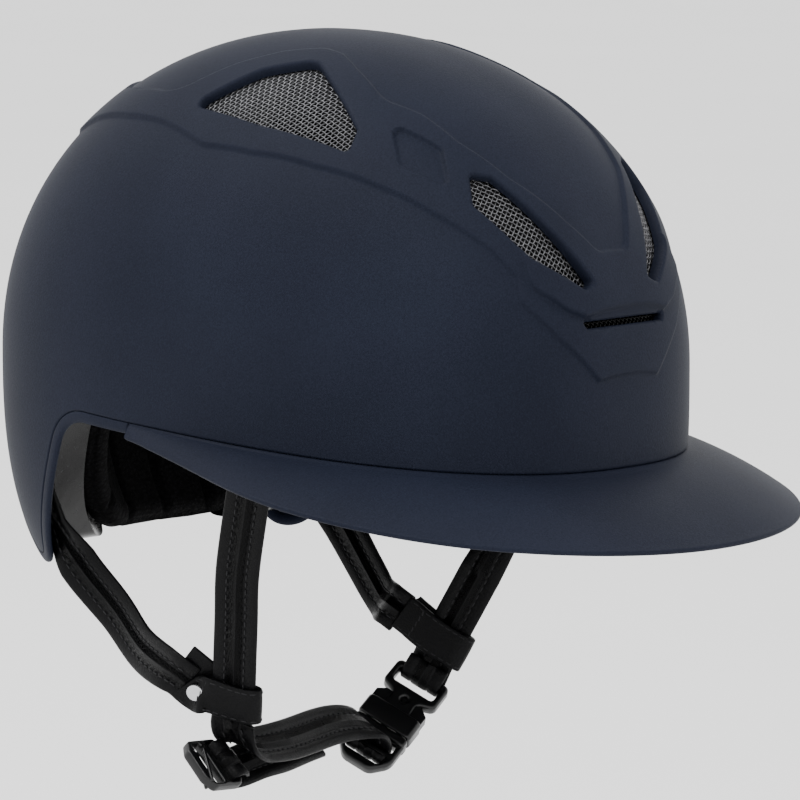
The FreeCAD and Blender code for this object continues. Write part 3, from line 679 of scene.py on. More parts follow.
def buildShell():
    outlines = shellOutlines()
    count, split = shell["cells"], shell["split"]
    fine = count * split
    share, lon = roundGrid(fine)
    table = np.linspace(-math.pi, math.pi, 2881)
    ends = polarAt(table, 0.0, aboveRim)
    ways = wayFrom(share * np.interp(lon, table, ends), lon)
    coarse, near = coarseDistances(outlines, ways, count)
    nearAny = np.any(list(near.values()), axis=0)
    nearAny[[0, -1]] = nearAny[:, [0, -1]] = True

    # Squares near an outline or at the rim are split
    used = np.zeros((fine + 1, fine + 1), bool)
    used[::split, ::split] = True
    for i, j in np.argwhere(nearAny):
        used[i * split:(i + 1) * split + 1, j * split:(j + 1) * split + 1] = True
    index = np.full(used.shape, -1)
    index[used] = np.arange(used.sum())
    way = ways[used]
    rows, columns = np.nonzero(used)
    flatPoints = domePoint(way)

    # Distances at the fine points, those at a vent's edge moved onto it and those inside it dropped
    drop, on, signed = np.zeros(len(way), bool), np.zeros(len(way), bool), {}
    beside = [np.clip((k - back) // split, 0, count - 1) for back in (0, 1) for k in (rows, columns)]
    for name, outline in outlines.items():
        here = coarse[name][np.round(rows / split).astype(int), np.round(columns / split).astype(int)]
        cell = near[name][beside[0], beside[1]] | near[name][beside[2], beside[3]]
        distance, where = outline.distance(flatPoints[cell])
        here[cell] = np.where(outline.inside(way[cell]), distance, -distance)
        if name in holes:
            snap = distance < shell["snap"]
            chosen = np.nonzero(cell)[0][snap]
            way[chosen] = outline.wayAt(where[snap])
            here[chosen] = 0.0
            on[chosen] = True
            drop |= here > 0
        signed[name] = here
    points = domePoint(way, -shellHeight(way, signed))
    print("shell points:", len(points))

    faces = []
    steps = np.arange(split)
    for i, j in np.argwhere(nearAny):
        r, c = i * split + steps[:, None], j * split + steps[None, :]
        corners = [index[r, c], index[r, c + 1], index[r + 1, c + 1], index[r + 1, c]]
        quads = np.stack(corners, -1).reshape(-1, 4)
        lost = drop[quads].any(1)
        outside = (~drop[quads] & ~on[quads]).any(1)
        faces += quads[~lost & outside].tolist()
        for quad in quads[lost & outside]:
            left = [k for k in quad if not drop[k]]
            if len(left) > 2:
                faces.append(left)
    for i, j in np.argwhere(~nearAny):
        i0, j0, i1, j1 = i * split, j * split, (i + 1) * split, (j + 1) * split
        if drop[index[i0, j0]]:
            continue
        loop = chain(index[i0, j0:j1], index[i0:i1, j1], index[i1, j1:j0:-1], index[i1:i0:-1, j0])
        faces.append([int(k) for k in loop if k >= 0])
    points, faces = addWalls(points, way, faces, index)
    return makePiece("shellSkin", points, faces, [finish["shell"]], "helmet", ["outer_shell"])


# The sides that belong to one face only
def borderOf(faces):
    starts = np.fromiter(chain.from_iterable(faces), int)
    ends = np.fromiter(chain.from_iterable(f[1:] + f[:1] for f in faces), int)
    key = np.minimum(starts, ends) * 10_000_000 + np.maximum(starts, ends)
    _, first, counts = np.unique(key, return_index=True, return_counts=True)
    single = first[counts == 1]
    return starts[single], ends[single]


# The vents' walls, and the rim rolled inwards
def addWalls(points, way, faces, index):
    starts, ends = borderOf(faces)
    rimSet = np.zeros(len(points), bool)
    for edge in (index[0], index[-1], index[:, 0], index[:, -1]):
        rimSet[edge[edge >= 0]] = True
    atRim = rimSet[starts] & rimSet[ends]
    extra, total = [points], len(points)
    normal = domeNormal(way)
    for isRim in (False, True):
        s, e = starts[atRim == isRim], ends[atRim == isRim]
        members = np.unique(np.concatenate([s, e]))
        slot = np.full(len(points), -1)
        slot[members] = np.arange(len(members))
        if isRim:
            tangent = np.zeros((len(members), 3))
            run = points[e] - points[s]
            np.add.at(tangent, slot[s], run)
            np.add.at(tangent, slot[e], run)
            base, n = points[members], normal[members]
            outward = unit(np.cross(unit(tangent), n))
            outward *= np.sign((outward * (base - points.mean(0))).sum(1).mean())
            rings = [base - n * inset + outward * slide for inset, slide in shell["rimRoll"]]
        else:
            rings = [domePoint(way[members], inset) for inset in (shell["wall"] / 2, shell["wall"])]
        previous = members
        for ring in rings:
            extra.append(ring)
            current = total + np.arange(len(members))
            total += len(members)
            quads = [previous[slot[e]], previous[slot[s]], current[slot[s]], current[slot[e]]]
            faces += np.stack(quads, -1).tolist()
            previous = current
    return np.concatenate(extra), faces


shellSkin = buildShell()
print("shell faces:", len(shellSkin.data.polygons))

# Peak

peak = {
    "reach": [(0, 48.0), (25, 44.5), (50, 34.0), (75, 14.0), (92, 5.0), (104, 1.0)],
    "drop": [(0, 24.5), (25, 21.5), (50, 14.5), (75, 8.0), (92, 4.5), (104, 3.0)],
    "gap": 0.8, "collar": 5.5, "edge": 2.4, "endY": 17.0, "stations": 300,
    "last": 99.4,                        # degrees round to the peak's end
    "root": (0.6, 0.6),                  # where the brim starts: below the gap, into the dome
    "droop": (0.55, 0.45),               # how much of the drop is straight and how much curved
    "edgeIn": 0.4, "rootThick": 1.2,     # the edge's round leans in, and the brim is thicker at its root
    "topRows": [(0.0, 2.6), (0.0, 0.9), (0.15, 0.35)],    # below the gap, into the dome
    "collarRows": [(-1.7, -0.1), (-0.4, 0.1), (0.0, 0.6), (0.0, 2.2), (-0.4, 2.6)],
}


# A smooth curve through a table of degrees round and sizes, alike on both sides
def spread(table, lon):
    xs, ys = np.array(table, float).T
    slopes = np.zeros(len(xs))
    slopes[1:-1] = (ys[2:] - ys[:-2]) / (xs[2:] - xs[:-2])
    slopes[-1] = (ys[-1] - ys[-2]) / (xs[-1] - xs[-2])
    lon = np.clip(np.abs(lon), 0, xs[-1])
    k = np.clip(np.searchsorted(xs, lon) - 1, 0, len(xs) - 2)
    h = xs[k + 1] - xs[k]
    s = (lon - xs[k]) / h
    return (ys[k] * (2 * s ** 3 - 3 * s ** 2 + 1) + h * slopes[k] * (s ** 3 - 2 * s ** 2 + s)
            + ys[k + 1] * (3 * s ** 2 - 2 * s ** 3) + h * slopes[k + 1] * (s ** 3 - s ** 2))


# Points on the dome below the straight part of the rim
def underRim(lon, drop, inset):
    angle = np.radians(lon)
    polar = polarAt(angle, inset, lambda p: p[..., 2] - rimHeight(p[..., 1]) + drop)
    return domePoint(wayFrom(polar, angle), inset)


def buildPeak():
    lon = np.linspace(-peak["last"], peak["last"], peak["stations"] + 1)
    gap, bottom = peak["gap"], peak["gap"] + peak["collar"]
    low, into = peak["root"]
    root = underRim(lon, gap + low, into)
    ahead = underRim(lon + 1, gap + low, into) - underRim(lon - 1, gap + low, into)
    out = unit(np.stack([ahead[:, 1], -ahead[:, 0], np.zeros(len(lon))], -1))
    if (out * root).sum() < 0:
        out = -out
    reach, drop = spread(peak["reach"], lon)[:, None], spread(peak["drop"], lon)[:, None]
    edge = np.minimum(peak["edge"], 1 + drop * 0.3)
    down = np.array([[0, 0, -1.0]])
    straight, curved = peak["droop"]

    def topAt(s):
        return root + out * reach * s + down * drop * (straight * s + curved * s * s)

    ring = [underRim(lon, gap + lower, inset) for lower, inset in peak["topRows"]]
    ring += [topAt(s) for s in np.linspace(0.03, 1, 16)[:-1]]
    middle = topAt(1.0) + down * edge / 2 - out * peak["edgeIn"]
    for degrees in range(70, -71, -20):
        angle = math.radians(degrees)
        ring.append(middle + out * (edge / 2) * math.cos(angle) - down * (edge / 2) * math.sin(angle))
    for s in np.linspace(0.94, 0.12, 10):
        ring.append(topAt(s) + down * (edge + (1 - s) * peak["rootThick"]) - out * peak["edgeIn"])
    ring += [underRim(lon, bottom + lower, inset) for lower, inset in peak["collarRows"]]
    grid = np.stack(ring, 1)
    grid[[0, -1], :, 1] = peak["endY"]
    rows, columns = grid.shape[:2]
    faces = sheetFaces(rows, columns, closed=True) + endFaces(rows, columns)
    return makePiece("peakBrim", grid.reshape(-1, 3), faces, [finish["peak"]], "helmet", ["peak"])


buildPeak()
print("peak made")

# Edge trim round the ear arches and nape

trim = {"gap": 0.8, "height": 5.4, "startY": 17.6, "round": (96, 264), "stations": 700}


def buildTrim():
    lon = np.linspace(*np.radians(trim["round"]), trim["stations"])
    ends = polarAt(lon, 0.0, aboveRim)
    ways = wayFrom(ends, lon)
    edge = domePoint(ways)
    some = edge[:, 1] > trim["startY"]
    ways, edge = ways[some], edge[some]
    normal = domeNormal(ways)
    outward = unit(np.cross(unit(np.gradient(edge, axis=0)), normal))
    outward *= -np.sign(outward[len(outward) // 2, 2])
    gap, tall = trim["gap"], trim["height"]
    profile = [(2.5, gap), (0.5, gap), (0.12, gap + 0.35), (0.0, gap + 1.0), (0.0, tall - 1.6),
               (0.2, tall - 0.7), (0.75, tall - 0.15), (1.4, tall), (2.0, tall - 0.2), (2.5, tall - 0.9)]
    rows = np.stack([edge - normal * inset + outward * slide for inset, slide in profile], 1)
    rows[[0, -1], :, 1] = trim["startY"]
    count, columns = rows.shape[:2]
    faces = [f[::-1] for f in sheetFaces(count, columns, closed=True)] + endFaces(count, columns)
    return makePiece("edgeTrim", rows.reshape(-1, 3), faces, [finish["shell"]], "helmet",
                     ["rear_edge_trim"])


buildTrim()
print("trim made")

# Woven wire in the vents

weave = {"pitch": 1.85, "wire": 0.29, "inset": 3.4, "wave": 0.27, "margin": 1.1, "turn": 38, "browTurn": 45}


def circle(sides):
    angle = np.arange(sides) * 2 * math.pi / sides
    return np.cos(angle)[:, None], np.sin(angle)[:, None]


# Round wires along paths
def tubes(paths, radius, sides):
    points, faces, total = [], [], 0
    across, upwards = circle(sides)
    for path in paths:
        run = unit(np.gradient(path, axis=0))
        lift = unit(np.cross(run, domeNormal(unit(path - (0, 0, dome["ringHeight"])))))
        up = np.cross(run, lift)
        ring = path[:, None] + radius * (across * lift[:, None] + upwards * up[:, None])
        points.append(ring.reshape(-1, 3))
        faces += sheetFaces(len(path), sides, total, closed=True)
        faces += [f[::-1] for f in endFaces(len(path), sides, total)]
        total += len(path) * sides
    return np.concatenate(points), faces


# Two families of wires that pass over and under each other, cut to the vent's outline
def buildWeave(node, name, corners, turn, paint="wire"):
    main, side, rise, depth = planeOf(corners)
    _, outline = holePath(corners, 0.5, weave["margin"])
    pitch = weave["pitch"]
    low, high = outline.min(0), outline.max(0)
    centre, far = (low + high) / 2, np.linalg.norm(high - low) / 2 + pitch
    paths = []
    for family in (0, 1):
        angle = math.radians(turn + 90 * family)
        along = np.array((math.cos(angle), math.sin(angle)))
        over = np.array((-along[1], along[0]))
        count = int(far / pitch)
        steps = np.arange(-count * 2, count * 2 + 1)
        for k in range(-count, count + 1):
            line = centre + over * k * pitch + along * (steps[:, None] * pitch / 2)
            keep = insidePath(outline, line)
            level = np.where(steps % 2 == 0, 1.0 - 2.0 * ((steps // 2 + k) % 2), 0.0) * (1 if family else -1)
            for run in np.split(np.arange(len(line)), np.nonzero(np.diff(keep.astype(int)))[0] + 1):
                if keep[run[0]] and len(run) > 2:
                    way = unit(main * depth + line[run, :1] * side + line[run, 1:] * rise)
                    paths.append(domePoint(way, weave["inset"] + weave["wave"] * level[run]))
    points, faces = tubes(paths, weave["wire"], 4)
    return makePiece(name, points, faces, [finish[paint]], "helmet", [node])


def insidePath(outline, q):
    a, b = outline, np.roll(outline, -1, 0)
    crosses = (a[:, 1] > q[:, None, 1]) != (b[:, 1] > q[:, None, 1])
    with np.errstate(divide="ignore", invalid="ignore"):
        edge = a[:, 0] + (q[:, None, 1] - a[:, 1]) * (b[:, 0] - a[:, 0]) / (b[:, 1] - a[:, 1])
    return (crosses & (q[:, None, 0] < edge)).sum(1) % 2 == 1


buildWeave("rear_vent_mesh_right", "rearWeaveRight", shell["rearVent"], weave["turn"])
buildWeave("rear_vent_mesh_left", "rearWeaveLeft", mirrored(shell["rearVent"]), -weave["turn"])
buildWeave("front_vent_mesh_right", "frontWeaveRight", shell["frontVent"], weave["turn"])
buildWeave("front_vent_mesh_left", "frontWeaveLeft", mirrored(shell["frontVent"]), -weave["turn"])
buildWeave("brow_vent_mesh", "browWeave", shell["browSlit"], weave["browTurn"], "gloss")
print("vent weave made")

# Frame pieces that stay get their finish

kept = {
    "impact_liner": "foam", "front_liner_cover": "gloss", "rear_liner_cover": "gloss",
    "pad_fastener_dots": "hook", "strap_anchor_rivets": "rivet", "right_yoke_rivet": "rivet",
    "buckle_prong_rear": "plastic", "buckle_prong_front": "plastic",
}
for node, name in kept.items():
    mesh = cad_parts[node].data
    mesh.materials.clear()
    mesh.materials.append(finish[name])

# Pads

pads = {
    "outer": 23.8, "edge": 7.0, "seam": 0.45, "seamWidth": 2.2, "fill": 0.6, "backShare": 0.96,
    "head": {"wall": 8.0, "span": (-113, 113), "stations": 260, "rows": 26, "lift": 6.0, "top": 40,
             "seams": [-88, -62, -36, -12, 12, 36, 62, 88]},
    "neck": {"wall": 13.0, "span": (126, 234), "stations": 200, "rows": 34, "lift": 5.0, "top": 4,
             "seams": [150, 165, 180, 195, 210]},
    "crown": {"wall": 7.0, "cells": 80, "reach": 31.5, "stretch": 4.5, "scale": 110, "seamAt": 0.5},
    "side": {"wall": 7.0, "cells": (100, 60), "middle": (91, 41), "half": (28.5, 6.6), "pull": (0.05, 0.16),
             "scale": (1.7, 1.9), "seamAt": 0.34},
}


# A closed pad that swells between its edges and its sewn channels
def pillow(name, node, ways, wall, seams, edge):
    rows, columns = ways.shape[:2]
    swell = np.sqrt(np.clip(1 - (1 - np.clip(edge / pads["edge"], 0, 1)) ** 2, 0, 1))
    half = wall / 2 * swell * (1 - pads["seam"] * np.exp(-(seams / pads["seamWidth"]) ** 2))
    front = domePoint(ways, pads["outer"] + wall / 2 + half)
    back = domePoint(ways, pads["outer"] + wall / 2 - half * pads["backShare"])
    points = np.concatenate([front.reshape(-1, 3), back.reshape(-1, 3)])
    shift = rows * columns
    faces = sheetFaces(rows, columns) + [f[::-1] for f in sheetFaces(rows, columns, shift)]
    grid = np.arange(shift).reshape(rows, columns)
    loop = [int(k) for k in chain(grid[0], grid[1:, -1], grid[-1, -2::-1], grid[-2:0:-1, 0])]
    faces += [[b, a, a + shift, b + shift] for a, b in zip(loop, loop[1:] + loop[:1])]
    piece = makePiece(name, points, faces, [finish["pad"]], "helmet", [node])


# A pad in a band round the head, between the rim and its top
def bandPillow(name, node, form):
    lons, rows = np.linspace(*form["span"], form["stations"]), form["rows"]
    middle = pads["outer"] + form["wall"] / 2
    angle = np.radians(lons)
    low = polarAt(angle, middle, lambda p: aboveRim(p, form["lift"]))
    high = polarAt(angle, middle, lambda p: p[..., 2] - form["top"])
    low = np.maximum(low, high + 1e-4)
    share = np.linspace(0, 1, rows)[None, :]
    ways = wayFrom(low[:, None] + (high - low)[:, None] * share, np.repeat(angle[:, None], rows, 1))
    points = domePoint(ways, middle)
    tall = np.linalg.norm(points[:, 0] - points[:, -1], axis=1)[:, None]
    step = np.linalg.norm(np.diff(points[:, rows // 2], axis=0), axis=1)
    length = np.concatenate([[0], np.cumsum(step)])
    ends = np.minimum(length, length[-1] - length)[:, None]
    edge = np.minimum(np.minimum(share, 1 - share) * tall, ends)
    seamPlaces = np.interp(form["seams"], lons, length)
    seams = np.abs(length[:, None] - seamPlaces[None, :]).min(1)[:, None] + 0 * share
    pillow(name, node, ways, form["wall"], seams, edge)


def crownCushion():
    form = pads["crown"]
    share, lon = roundGrid(form["cells"])
    limit = np.radians(form["reach"] + form["stretch"] * np.cos(2 * lon))
    edge = (1 - share) * limit * form["scale"]
    seams = np.abs(share - form["seamAt"]) * limit * form["scale"]
    pillow("crownCushion", "crown_pad", wayFrom(share * limit, lon), form["wall"], seams, edge)


def sideCushion(name, node, side):
    form = pads["side"]
    u, v = np.meshgrid(*(np.linspace(-1, 1, cells + 1) for cells in form["cells"]), indexing="ij")
    (lon, lat), (wide, tall), (pullWide, pullTall) = form["middle"], form["half"], form["pull"]
    ways = wayOf(side * (lon + wide * u * (1 - pullWide * v ** 4)), lat + tall * v * (1 - pullTall * u ** 6))
    wide, tall = wide * form["scale"][0], tall * form["scale"][1]
    edge = np.minimum((1 - np.abs(u)) * wide, (1 - np.abs(v)) * tall)
    pillow(name, node, ways, form["wall"], np.abs(np.abs(u) - form["seamAt"]) * wide, edge)


bandPillow("headbandCushion", "headband_pad", pads["head"])
bandPillow("neckCushion", "neck_pad", pads["neck"])
crownCushion()
sideCushion("sideCushionRight", "side_pad_right", -1)
sideCushion("sideCushionLeft", "side_pad_left", 1)
print("pads made")

# Straps

strapForm = {
    "width": 18.0, "wall": 2.2, "step": 1.4, "clearance": 1.6,
    "stitchIn": 5.0, "stitchLength": 2.5, "stitchPitch": 3.5, "stitchRadius": 0.34, "stitchSides": 6,
    "stitchShape": [(-0.5, 0.25), (-0.42, 0.8), (-0.2, 1.0), (0.2, 1.0), (0.42, 0.8), (0.5, 0.25)],
    "stitchSink": 0.08, "endNarrow": 0.96, "endThin": 0.7, "endOut": 0.45,
}
inWall = shell["wall"] + strapForm["clearance"] + strapForm["wall"] / 2


# A smooth curve through points, which gives its place and its run
def splineThrough(points, marks):
    n = len(points)
    h = np.diff(marks)
    slope = np.diff(points, axis=0) / h[:, None]
    matrix, right = np.zeros((n, n)), np.zeros((n, 3))
    matrix[0, 0] = matrix[-1, -1] = 1
    right[0] = slope[0] + (slope[0] - slope[1]) * h[0] / (h[0] + h[1])
    right[-1] = slope[-1] + (slope[-1] - slope[-2]) * h[-1] / (h[-1] + h[-2])
    for k in range(1, n - 1):
        matrix[k, k - 1:k + 2] = h[k], 2 * (h[k - 1] + h[k]), h[k - 1]
        right[k] = 3 * (h[k] * slope[k - 1] + h[k - 1] * slope[k])
    tangents = np.linalg.solve(matrix, right)

    def at(t):
        k = np.clip(np.searchsorted(marks, t, side="right") - 1, 0, n - 2)
        d, s = h[k][:, None], ((t - marks[k]) / h[k])[:, None]
        p, q, m0, m1 = points[k], points[k + 1], tangents[k] * d, tangents[k + 1] * d
        value = p * (2 * s ** 3 - 3 * s ** 2 + 1) + m0 * (s ** 3 - 2 * s ** 2 + s)
        value = value + q * (3 * s ** 2 - 2 * s ** 3) + m1 * (s ** 3 - s ** 2)
        run = p * (6 * s ** 2 - 6 * s) + m0 * (3 * s ** 2 - 4 * s + 1)
        run = run + q * (6 * s - 6 * s ** 2) + m1 * (3 * s ** 2 - 2 * s)
        return value, run / d
    return at


# Points along a strap with its run, its width way and its face way
def strapLine(stations, step):
    points = np.array([p for p, _ in stations], float)
    widths = np.array([w for _, w in stations], float)
    marks = np.concatenate([[0], np.cumsum(np.linalg.norm(np.diff(points, axis=0), axis=1) ** 0.6)])
    at = splineThrough(points, marks)
    t = []
    for k in range(len(points) - 1):
        parts = max(2, math.ceil(np.linalg.norm(points[k + 1] - points[k]) / step))
        t += list(marks[k] + (marks[k + 1] - marks[k]) * np.arange(parts) / parts)
    t = np.array(t + [marks[-1]])
    p, run = at(t)
    run = unit(run)
    w = np.stack([np.interp(t, marks, widths[:, axis]) for axis in range(3)], -1)
    w = unit(w - run * (w * run).sum(1)[:, None])
    return p, run, w, np.cross(run, w)


# The cut across a strap: rounded edges, a groove under each row of stitches and a slight crown
def strapProfile(width, wall, grooves):
    half, thick = width / 2, wall / 2
    row = half - strapForm["stitchIn"]
    side = [(half, 0.0), (half - 0.12, 0.45), (half - 0.45, 0.82), (half - 0.95, thick)]
    if grooves:
        side += [(row + 0.55, thick), (row + 0.2, thick - 0.28), (row - 0.2, thick - 0.28),
                 (row - 0.55, thick), (row - 1.6, thick + 0.1)]
    side += [(half * 0.3, thick + 0.14)]
    top = side + [(-a, b) for a, b in reversed(side)]
    return np.array(top + [(-a, -b) for a, b in top[1:-1]])


def strapBody(stations, width, wall, grooves):
    p, run, w, n = strapLine(stations, strapForm["step"])
    profile = strapProfile(width, wall, grooves)
    rings = p[:, None] + profile[None, :, :1] * w[:, None] + profile[None, :, 1:] * n[:, None]
    rows, columns = rings.shape[:2]
    caps = []
    for k, sign in ((0, -1), (-1, 1)):
        narrow, thin = strapForm["endNarrow"], strapForm["endThin"]
        caps.append(p[k] + profile[:, :1] * w[k] * narrow + profile[:, 1:] * n[k] * thin
                    + sign * run[k] * strapForm["endOut"])
    grid = np.concatenate([caps[0][None], rings, caps[1][None]])
    faces = [f[::-1] for f in sheetFaces(rows + 2, columns, closed=True)] + endFaces(rows + 2, columns)
    return grid.reshape(-1, 3), faces, (p, run, w, n)


# Rows of single stitches, on the faces asked for
def stitchesAlong(line, start, stop, rows, wall, faceSides=(1, -1)):
    p, run, w, n = line
    length = np.concatenate([[0], np.cumsum(np.linalg.norm(np.diff(p, axis=0), axis=1))])
    points, faces, total = [], [], 0
    shape, radius, sides = (strapForm[key] for key in ("stitchShape", "stitchRadius", "stitchSides"))
    across, upwards = circle(sides)
    for s in np.arange(length[0] + start, length[-1] - stop, strapForm["stitchPitch"]):
        at = [np.array([np.interp(s, length, q[:, axis]) for axis in range(3)]) for q in (p, run, w, n)]
        centre, along, over, up = at[0], unit(at[1]), unit(at[2]), unit(at[3])
        for row, sign in product(rows, faceSides):
            middle = centre + over * row + up * sign * (wall / 2 - strapForm["stitchSink"])
            for share, size in shape:
                end = middle + along * share * strapForm["stitchLength"]
                dip = radius / 2 if abs(share) == 0.5 else 0.0
                points.append(end - up * sign * dip + radius * size * (across * over + upwards * up))
            faces += sheetFaces(len(shape), sides, total, closed=True)
            faces += [f[::-1] for f in endFaces(len(shape), sides, total)]
            total += len(shape) * sides
    return np.concatenate(points), faces


# Several meshes as one, each with the number of its material
def joinParts(parts):
    points, faces, marks, total = [], [], [], 0
    for number, (some, their) in parts:
        points.append(some)
        faces += [[k + total for k in f] for f in their]
        marks += [number] * len(their)
        total += len(some)
    return np.concatenate(points), faces, marks


def makeStrap(name, node, stations, body, start=6, stop=6):
    width, wall = strapForm["width"], strapForm["wall"]
    points, faces, line = strapBody(stations, width, wall, True)
    row = width / 2 - strapForm["stitchIn"]
    stitched = stitchesAlong(line, start, stop, (row, -row), wall)
    return leatherPiece(name, node, body, [(0, (points, faces)), (1, stitched)])


def leatherPiece(name, node, body, parts):
    points, faces, marks = joinParts(parts)
    return makePiece(name, points, faces, [finish["leather"], finish["thread"]], body,
                     [node], marks)


# Three square ways: along, across the width, and out of the face
def frameAlong(way, widthWay):
    x = unit(way)
    y = unit(np.asarray(widthWay, float) - x * np.dot(x, widthWay))
    return x, y, np.cross(x, y)


# A strap's place against the inside of the shell, with its width level
def wallStation(lon, lat, inset=inWall):
    ahead = unit(domePoint(wayOf(lon + 2, lat), inWall) - domePoint(wayOf(lon - 2, lat), inWall))
    return domePoint(wayOf(lon, lat), inset), ahead if lon > 0 else -ahead


# Points are in millimetres; each free station has a point and the way of the strap's width
harness = {
    "rightLow": (-71.0, -7.5, -108.0), "rightHigh": (-86.0, -23.0, -48.0), "rightWay": (-0.36, 0.93, 0.0),
    "leftHigh": (77.9, -10.8, -65.8), "rightYokeUp": 7.5, "leftYokeUp": 17.5, "earStart": 11.25,
    "earLength": 9.5, "earRun": 7.0, "rightTilt": 28.0, "leftTilt": 6.0,
    "rightTop": [(-66, 4), (-67, -7)], "leftTop": [(66, 4), (67, -7)],
    "rightBend": [((-94.5, -36.5, -12), (-0.36, 0.93, 0.0))],
    "leftBend": [((94.5, -36.5, -12), (0.36, 0.93, 0.0)), ((84.0, -20.0, -47), (0.1, 0.93, 0.25))],
    "rearTop": [(134, -6, 0.0), (134, -20, 0.0), (134.5, -30, 2.7)],
    "leftRearTop": [(134, -6, 0.0), (134, -20, 0.5)],
    "rightRearBend": [((-74.5, 72.0, -53.0), (-0.25, 0.75, -0.5)), ((-73.5, 52.0, -71.0), (-0.1, 0.6, -0.8)),
                      ((-79.5, 33.0, -83.5), (-0.05, 0.5, -0.86))],
    "leftRearBend": [((78.0, 76.0, -34.0), (-0.4, 0.75, -0.3)), ((75.0, 62.0, -50.0), (-0.2, 0.65, -0.7)),
                     ((72.5, 46.0, -68.0), (-0.1, 0.6, -0.8)), ((69.0, 34.0, -79.0), (-0.1, 0.5, -0.86))],
    "chinBend": [((-66.0, -7.0, -118.2), (-0.3, 0.85, 0.35)), ((-55.0, -6.0, -121.0), (-0.2, 0.7, 0.68)),
                 ((-34.0, -3.0, -121.8), (-0.15, 0.6, 0.78)), ((-8.0, 2.5, -121.0), (-0.15, 0.6, 0.78)),
                 ((14.0, 5.5, -121.2), (-0.2, 0.68, 0.7)), ((26.5, 5.5, -124.3), (-0.26, 0.76, 0.58))],
    "tailBend": [((-52.0, -1.6, -127.8), (-0.15, 0.68, 0.72)), ((-38.0, -0.6, -126.9), (-0.15, 0.6, 0.78)),
                 ((-22.0, 2.6, -125.8), (-0.15, 0.6, 0.78)), ((-8.0, 5.6, -125.1), (-0.15, 0.6, 0.78))],
}
buckle = {
    "mouth": (42.0, 11.0, -128.0), "pull": (-0.79, 0.05, -0.61), "across": (-0.314, 0.823, 0.474),
    "length": 22.0, "barRadius": 1.5, "barBack": 8.0, "loopGap": 0.4, "plugBar": 10.5,
}
across = buckle["across"]
buckleFrame = frameAlong(buckle["pull"], across)
foldRadius = buckle["barRadius"] + buckle["loopGap"] + strapForm["wall"] / 2


def bucklePoint(x, y, z):
    return np.array(buckle["mouth"]) + buckleFrame[0] * x + buckleFrame[1] * y + buckleFrame[2] * z


leftLow = bucklePoint(-buckle["length"] - buckle["barBack"], 0, 0)
rightLow, rightHigh, leftHigh = (np.array(harness[k]) for k in ("rightLow", "rightHigh", "leftHigh"))
rightWay = harness["rightWay"]
rightYoke = frameAlong(rightLow - rightHigh, rightWay)
leftYoke = frameAlong(leftLow - leftHigh, across)
rightYokePlace = rightLow - rightYoke[0] * harness["rightYokeUp"]
leftYokePlace = leftLow - leftYoke[0] * harness["leftYokeUp"]


def straightRun(low, high, width):
    return [(high + (low - high) * k / 4, width) for k in range(5)]


# The ways of a yoke's ear, tilted up towards the rear strap: along it and over its width
def earWays(ways, tilt):
    a = math.radians(tilt)
    return -math.sin(a) * ways[0] + math.cos(a) * ways[1], math.cos(a) * ways[0] + math.sin(a) * ways[1]


# Where a rear strap ends on its yoke
def earStations(place, ways, tilt):
    a = math.radians(tilt)
    made = []
    for length in (harness["earLength"] + harness["earRun"], harness["earLength"]):
        x, y = -math.sin(a) * length, harness["earStart"] + math.cos(a) * length
        made.append((place + ways[0] * x + ways[1] * y, ways[0] * math.cos(a) + ways[1] * math.sin(a)))
    return made


# Points round a bar
def roundBar(centre, radius, up, out, angles, width):
    return [(centre + radius * (up * math.cos(math.radians(k)) + out * math.sin(math.radians(k))), width)
            for k in angles]


rightFront = [wallStation(*top) for top in harness["rightTop"]] + harness["rightBend"] \
    + straightRun(rightLow, rightHigh, rightWay)
leftFront = [wallStation(*top) for top in harness["leftTop"]] + harness["leftBend"] \
    + straightRun(leftLow, leftHigh, across)[:-1] \
    + [(leftLow - leftYoke[0] * 9 + leftYoke[2] * 0.3, across)] \
    + roundBar(leftLow, foldRadius, leftYoke[0], leftYoke[2], range(80, -81, -40), across) \
    + [(leftLow - leftYoke[0] * 7 - leftYoke[2] * 2.4, across)]
rightRear = [wallStation(-lon, lat, inWall + more) for lon, lat, more in harness["rearTop"]] \
    + harness["rightRearBend"] + earStations(rightYokePlace, rightYoke, harness["rightTilt"])
leftRear = [wallStation(lon, lat, inWall + more) for lon, lat, more in harness["leftRearTop"]] \
    + harness["leftRearBend"] + earStations(leftYokePlace, leftYoke, harness["leftTilt"])
plugBar = bucklePoint(buckle["plugBar"], 0, 0)
chin = [(rightLow + rightYoke[0] * more, rightWay) for more in (0.5, 5.5)] + harness["chinBend"] \
    + [(bucklePoint(buckle["plugBar"] - foldRadius + 0.8, 0, -7.0), across)] \
    + roundBar(plugBar, foldRadius, -buckleFrame[0], buckleFrame[2], range(0, 250, 30), across)

adjust = {
    "centre": (-80.0, -4.5, -126.0), "way": (0.99, 0.02, -0.06), "across": (-0.1, 0.7, 0.7), "width": 23.0,
    "wall": 4.4, "rail": 1.7, "bar": 3.0, "slot": 5.2, "roundEdge": 1.1, "rib": 0.75,
}
adjustFrame = frameAlong(adjust["way"], adjust["across"])
bar = np.array(adjust["centre"]) + adjustFrame[0] * (adjust["slot"] + adjust["bar"])
turnRadius = math.hypot(adjust["bar"], adjust["wall"]) / 2 + buckle["loopGap"] + strapForm["wall"] / 2
tail = roundBar(bar, turnRadius, -adjustFrame[2], -adjustFrame[0], range(240, -1, -30), adjust["across"]) \
    + [(bar + adjustFrame[0] * 6.0 - adjustFrame[2] * turnRadius, adjust["across"])] + harness["tailBend"]

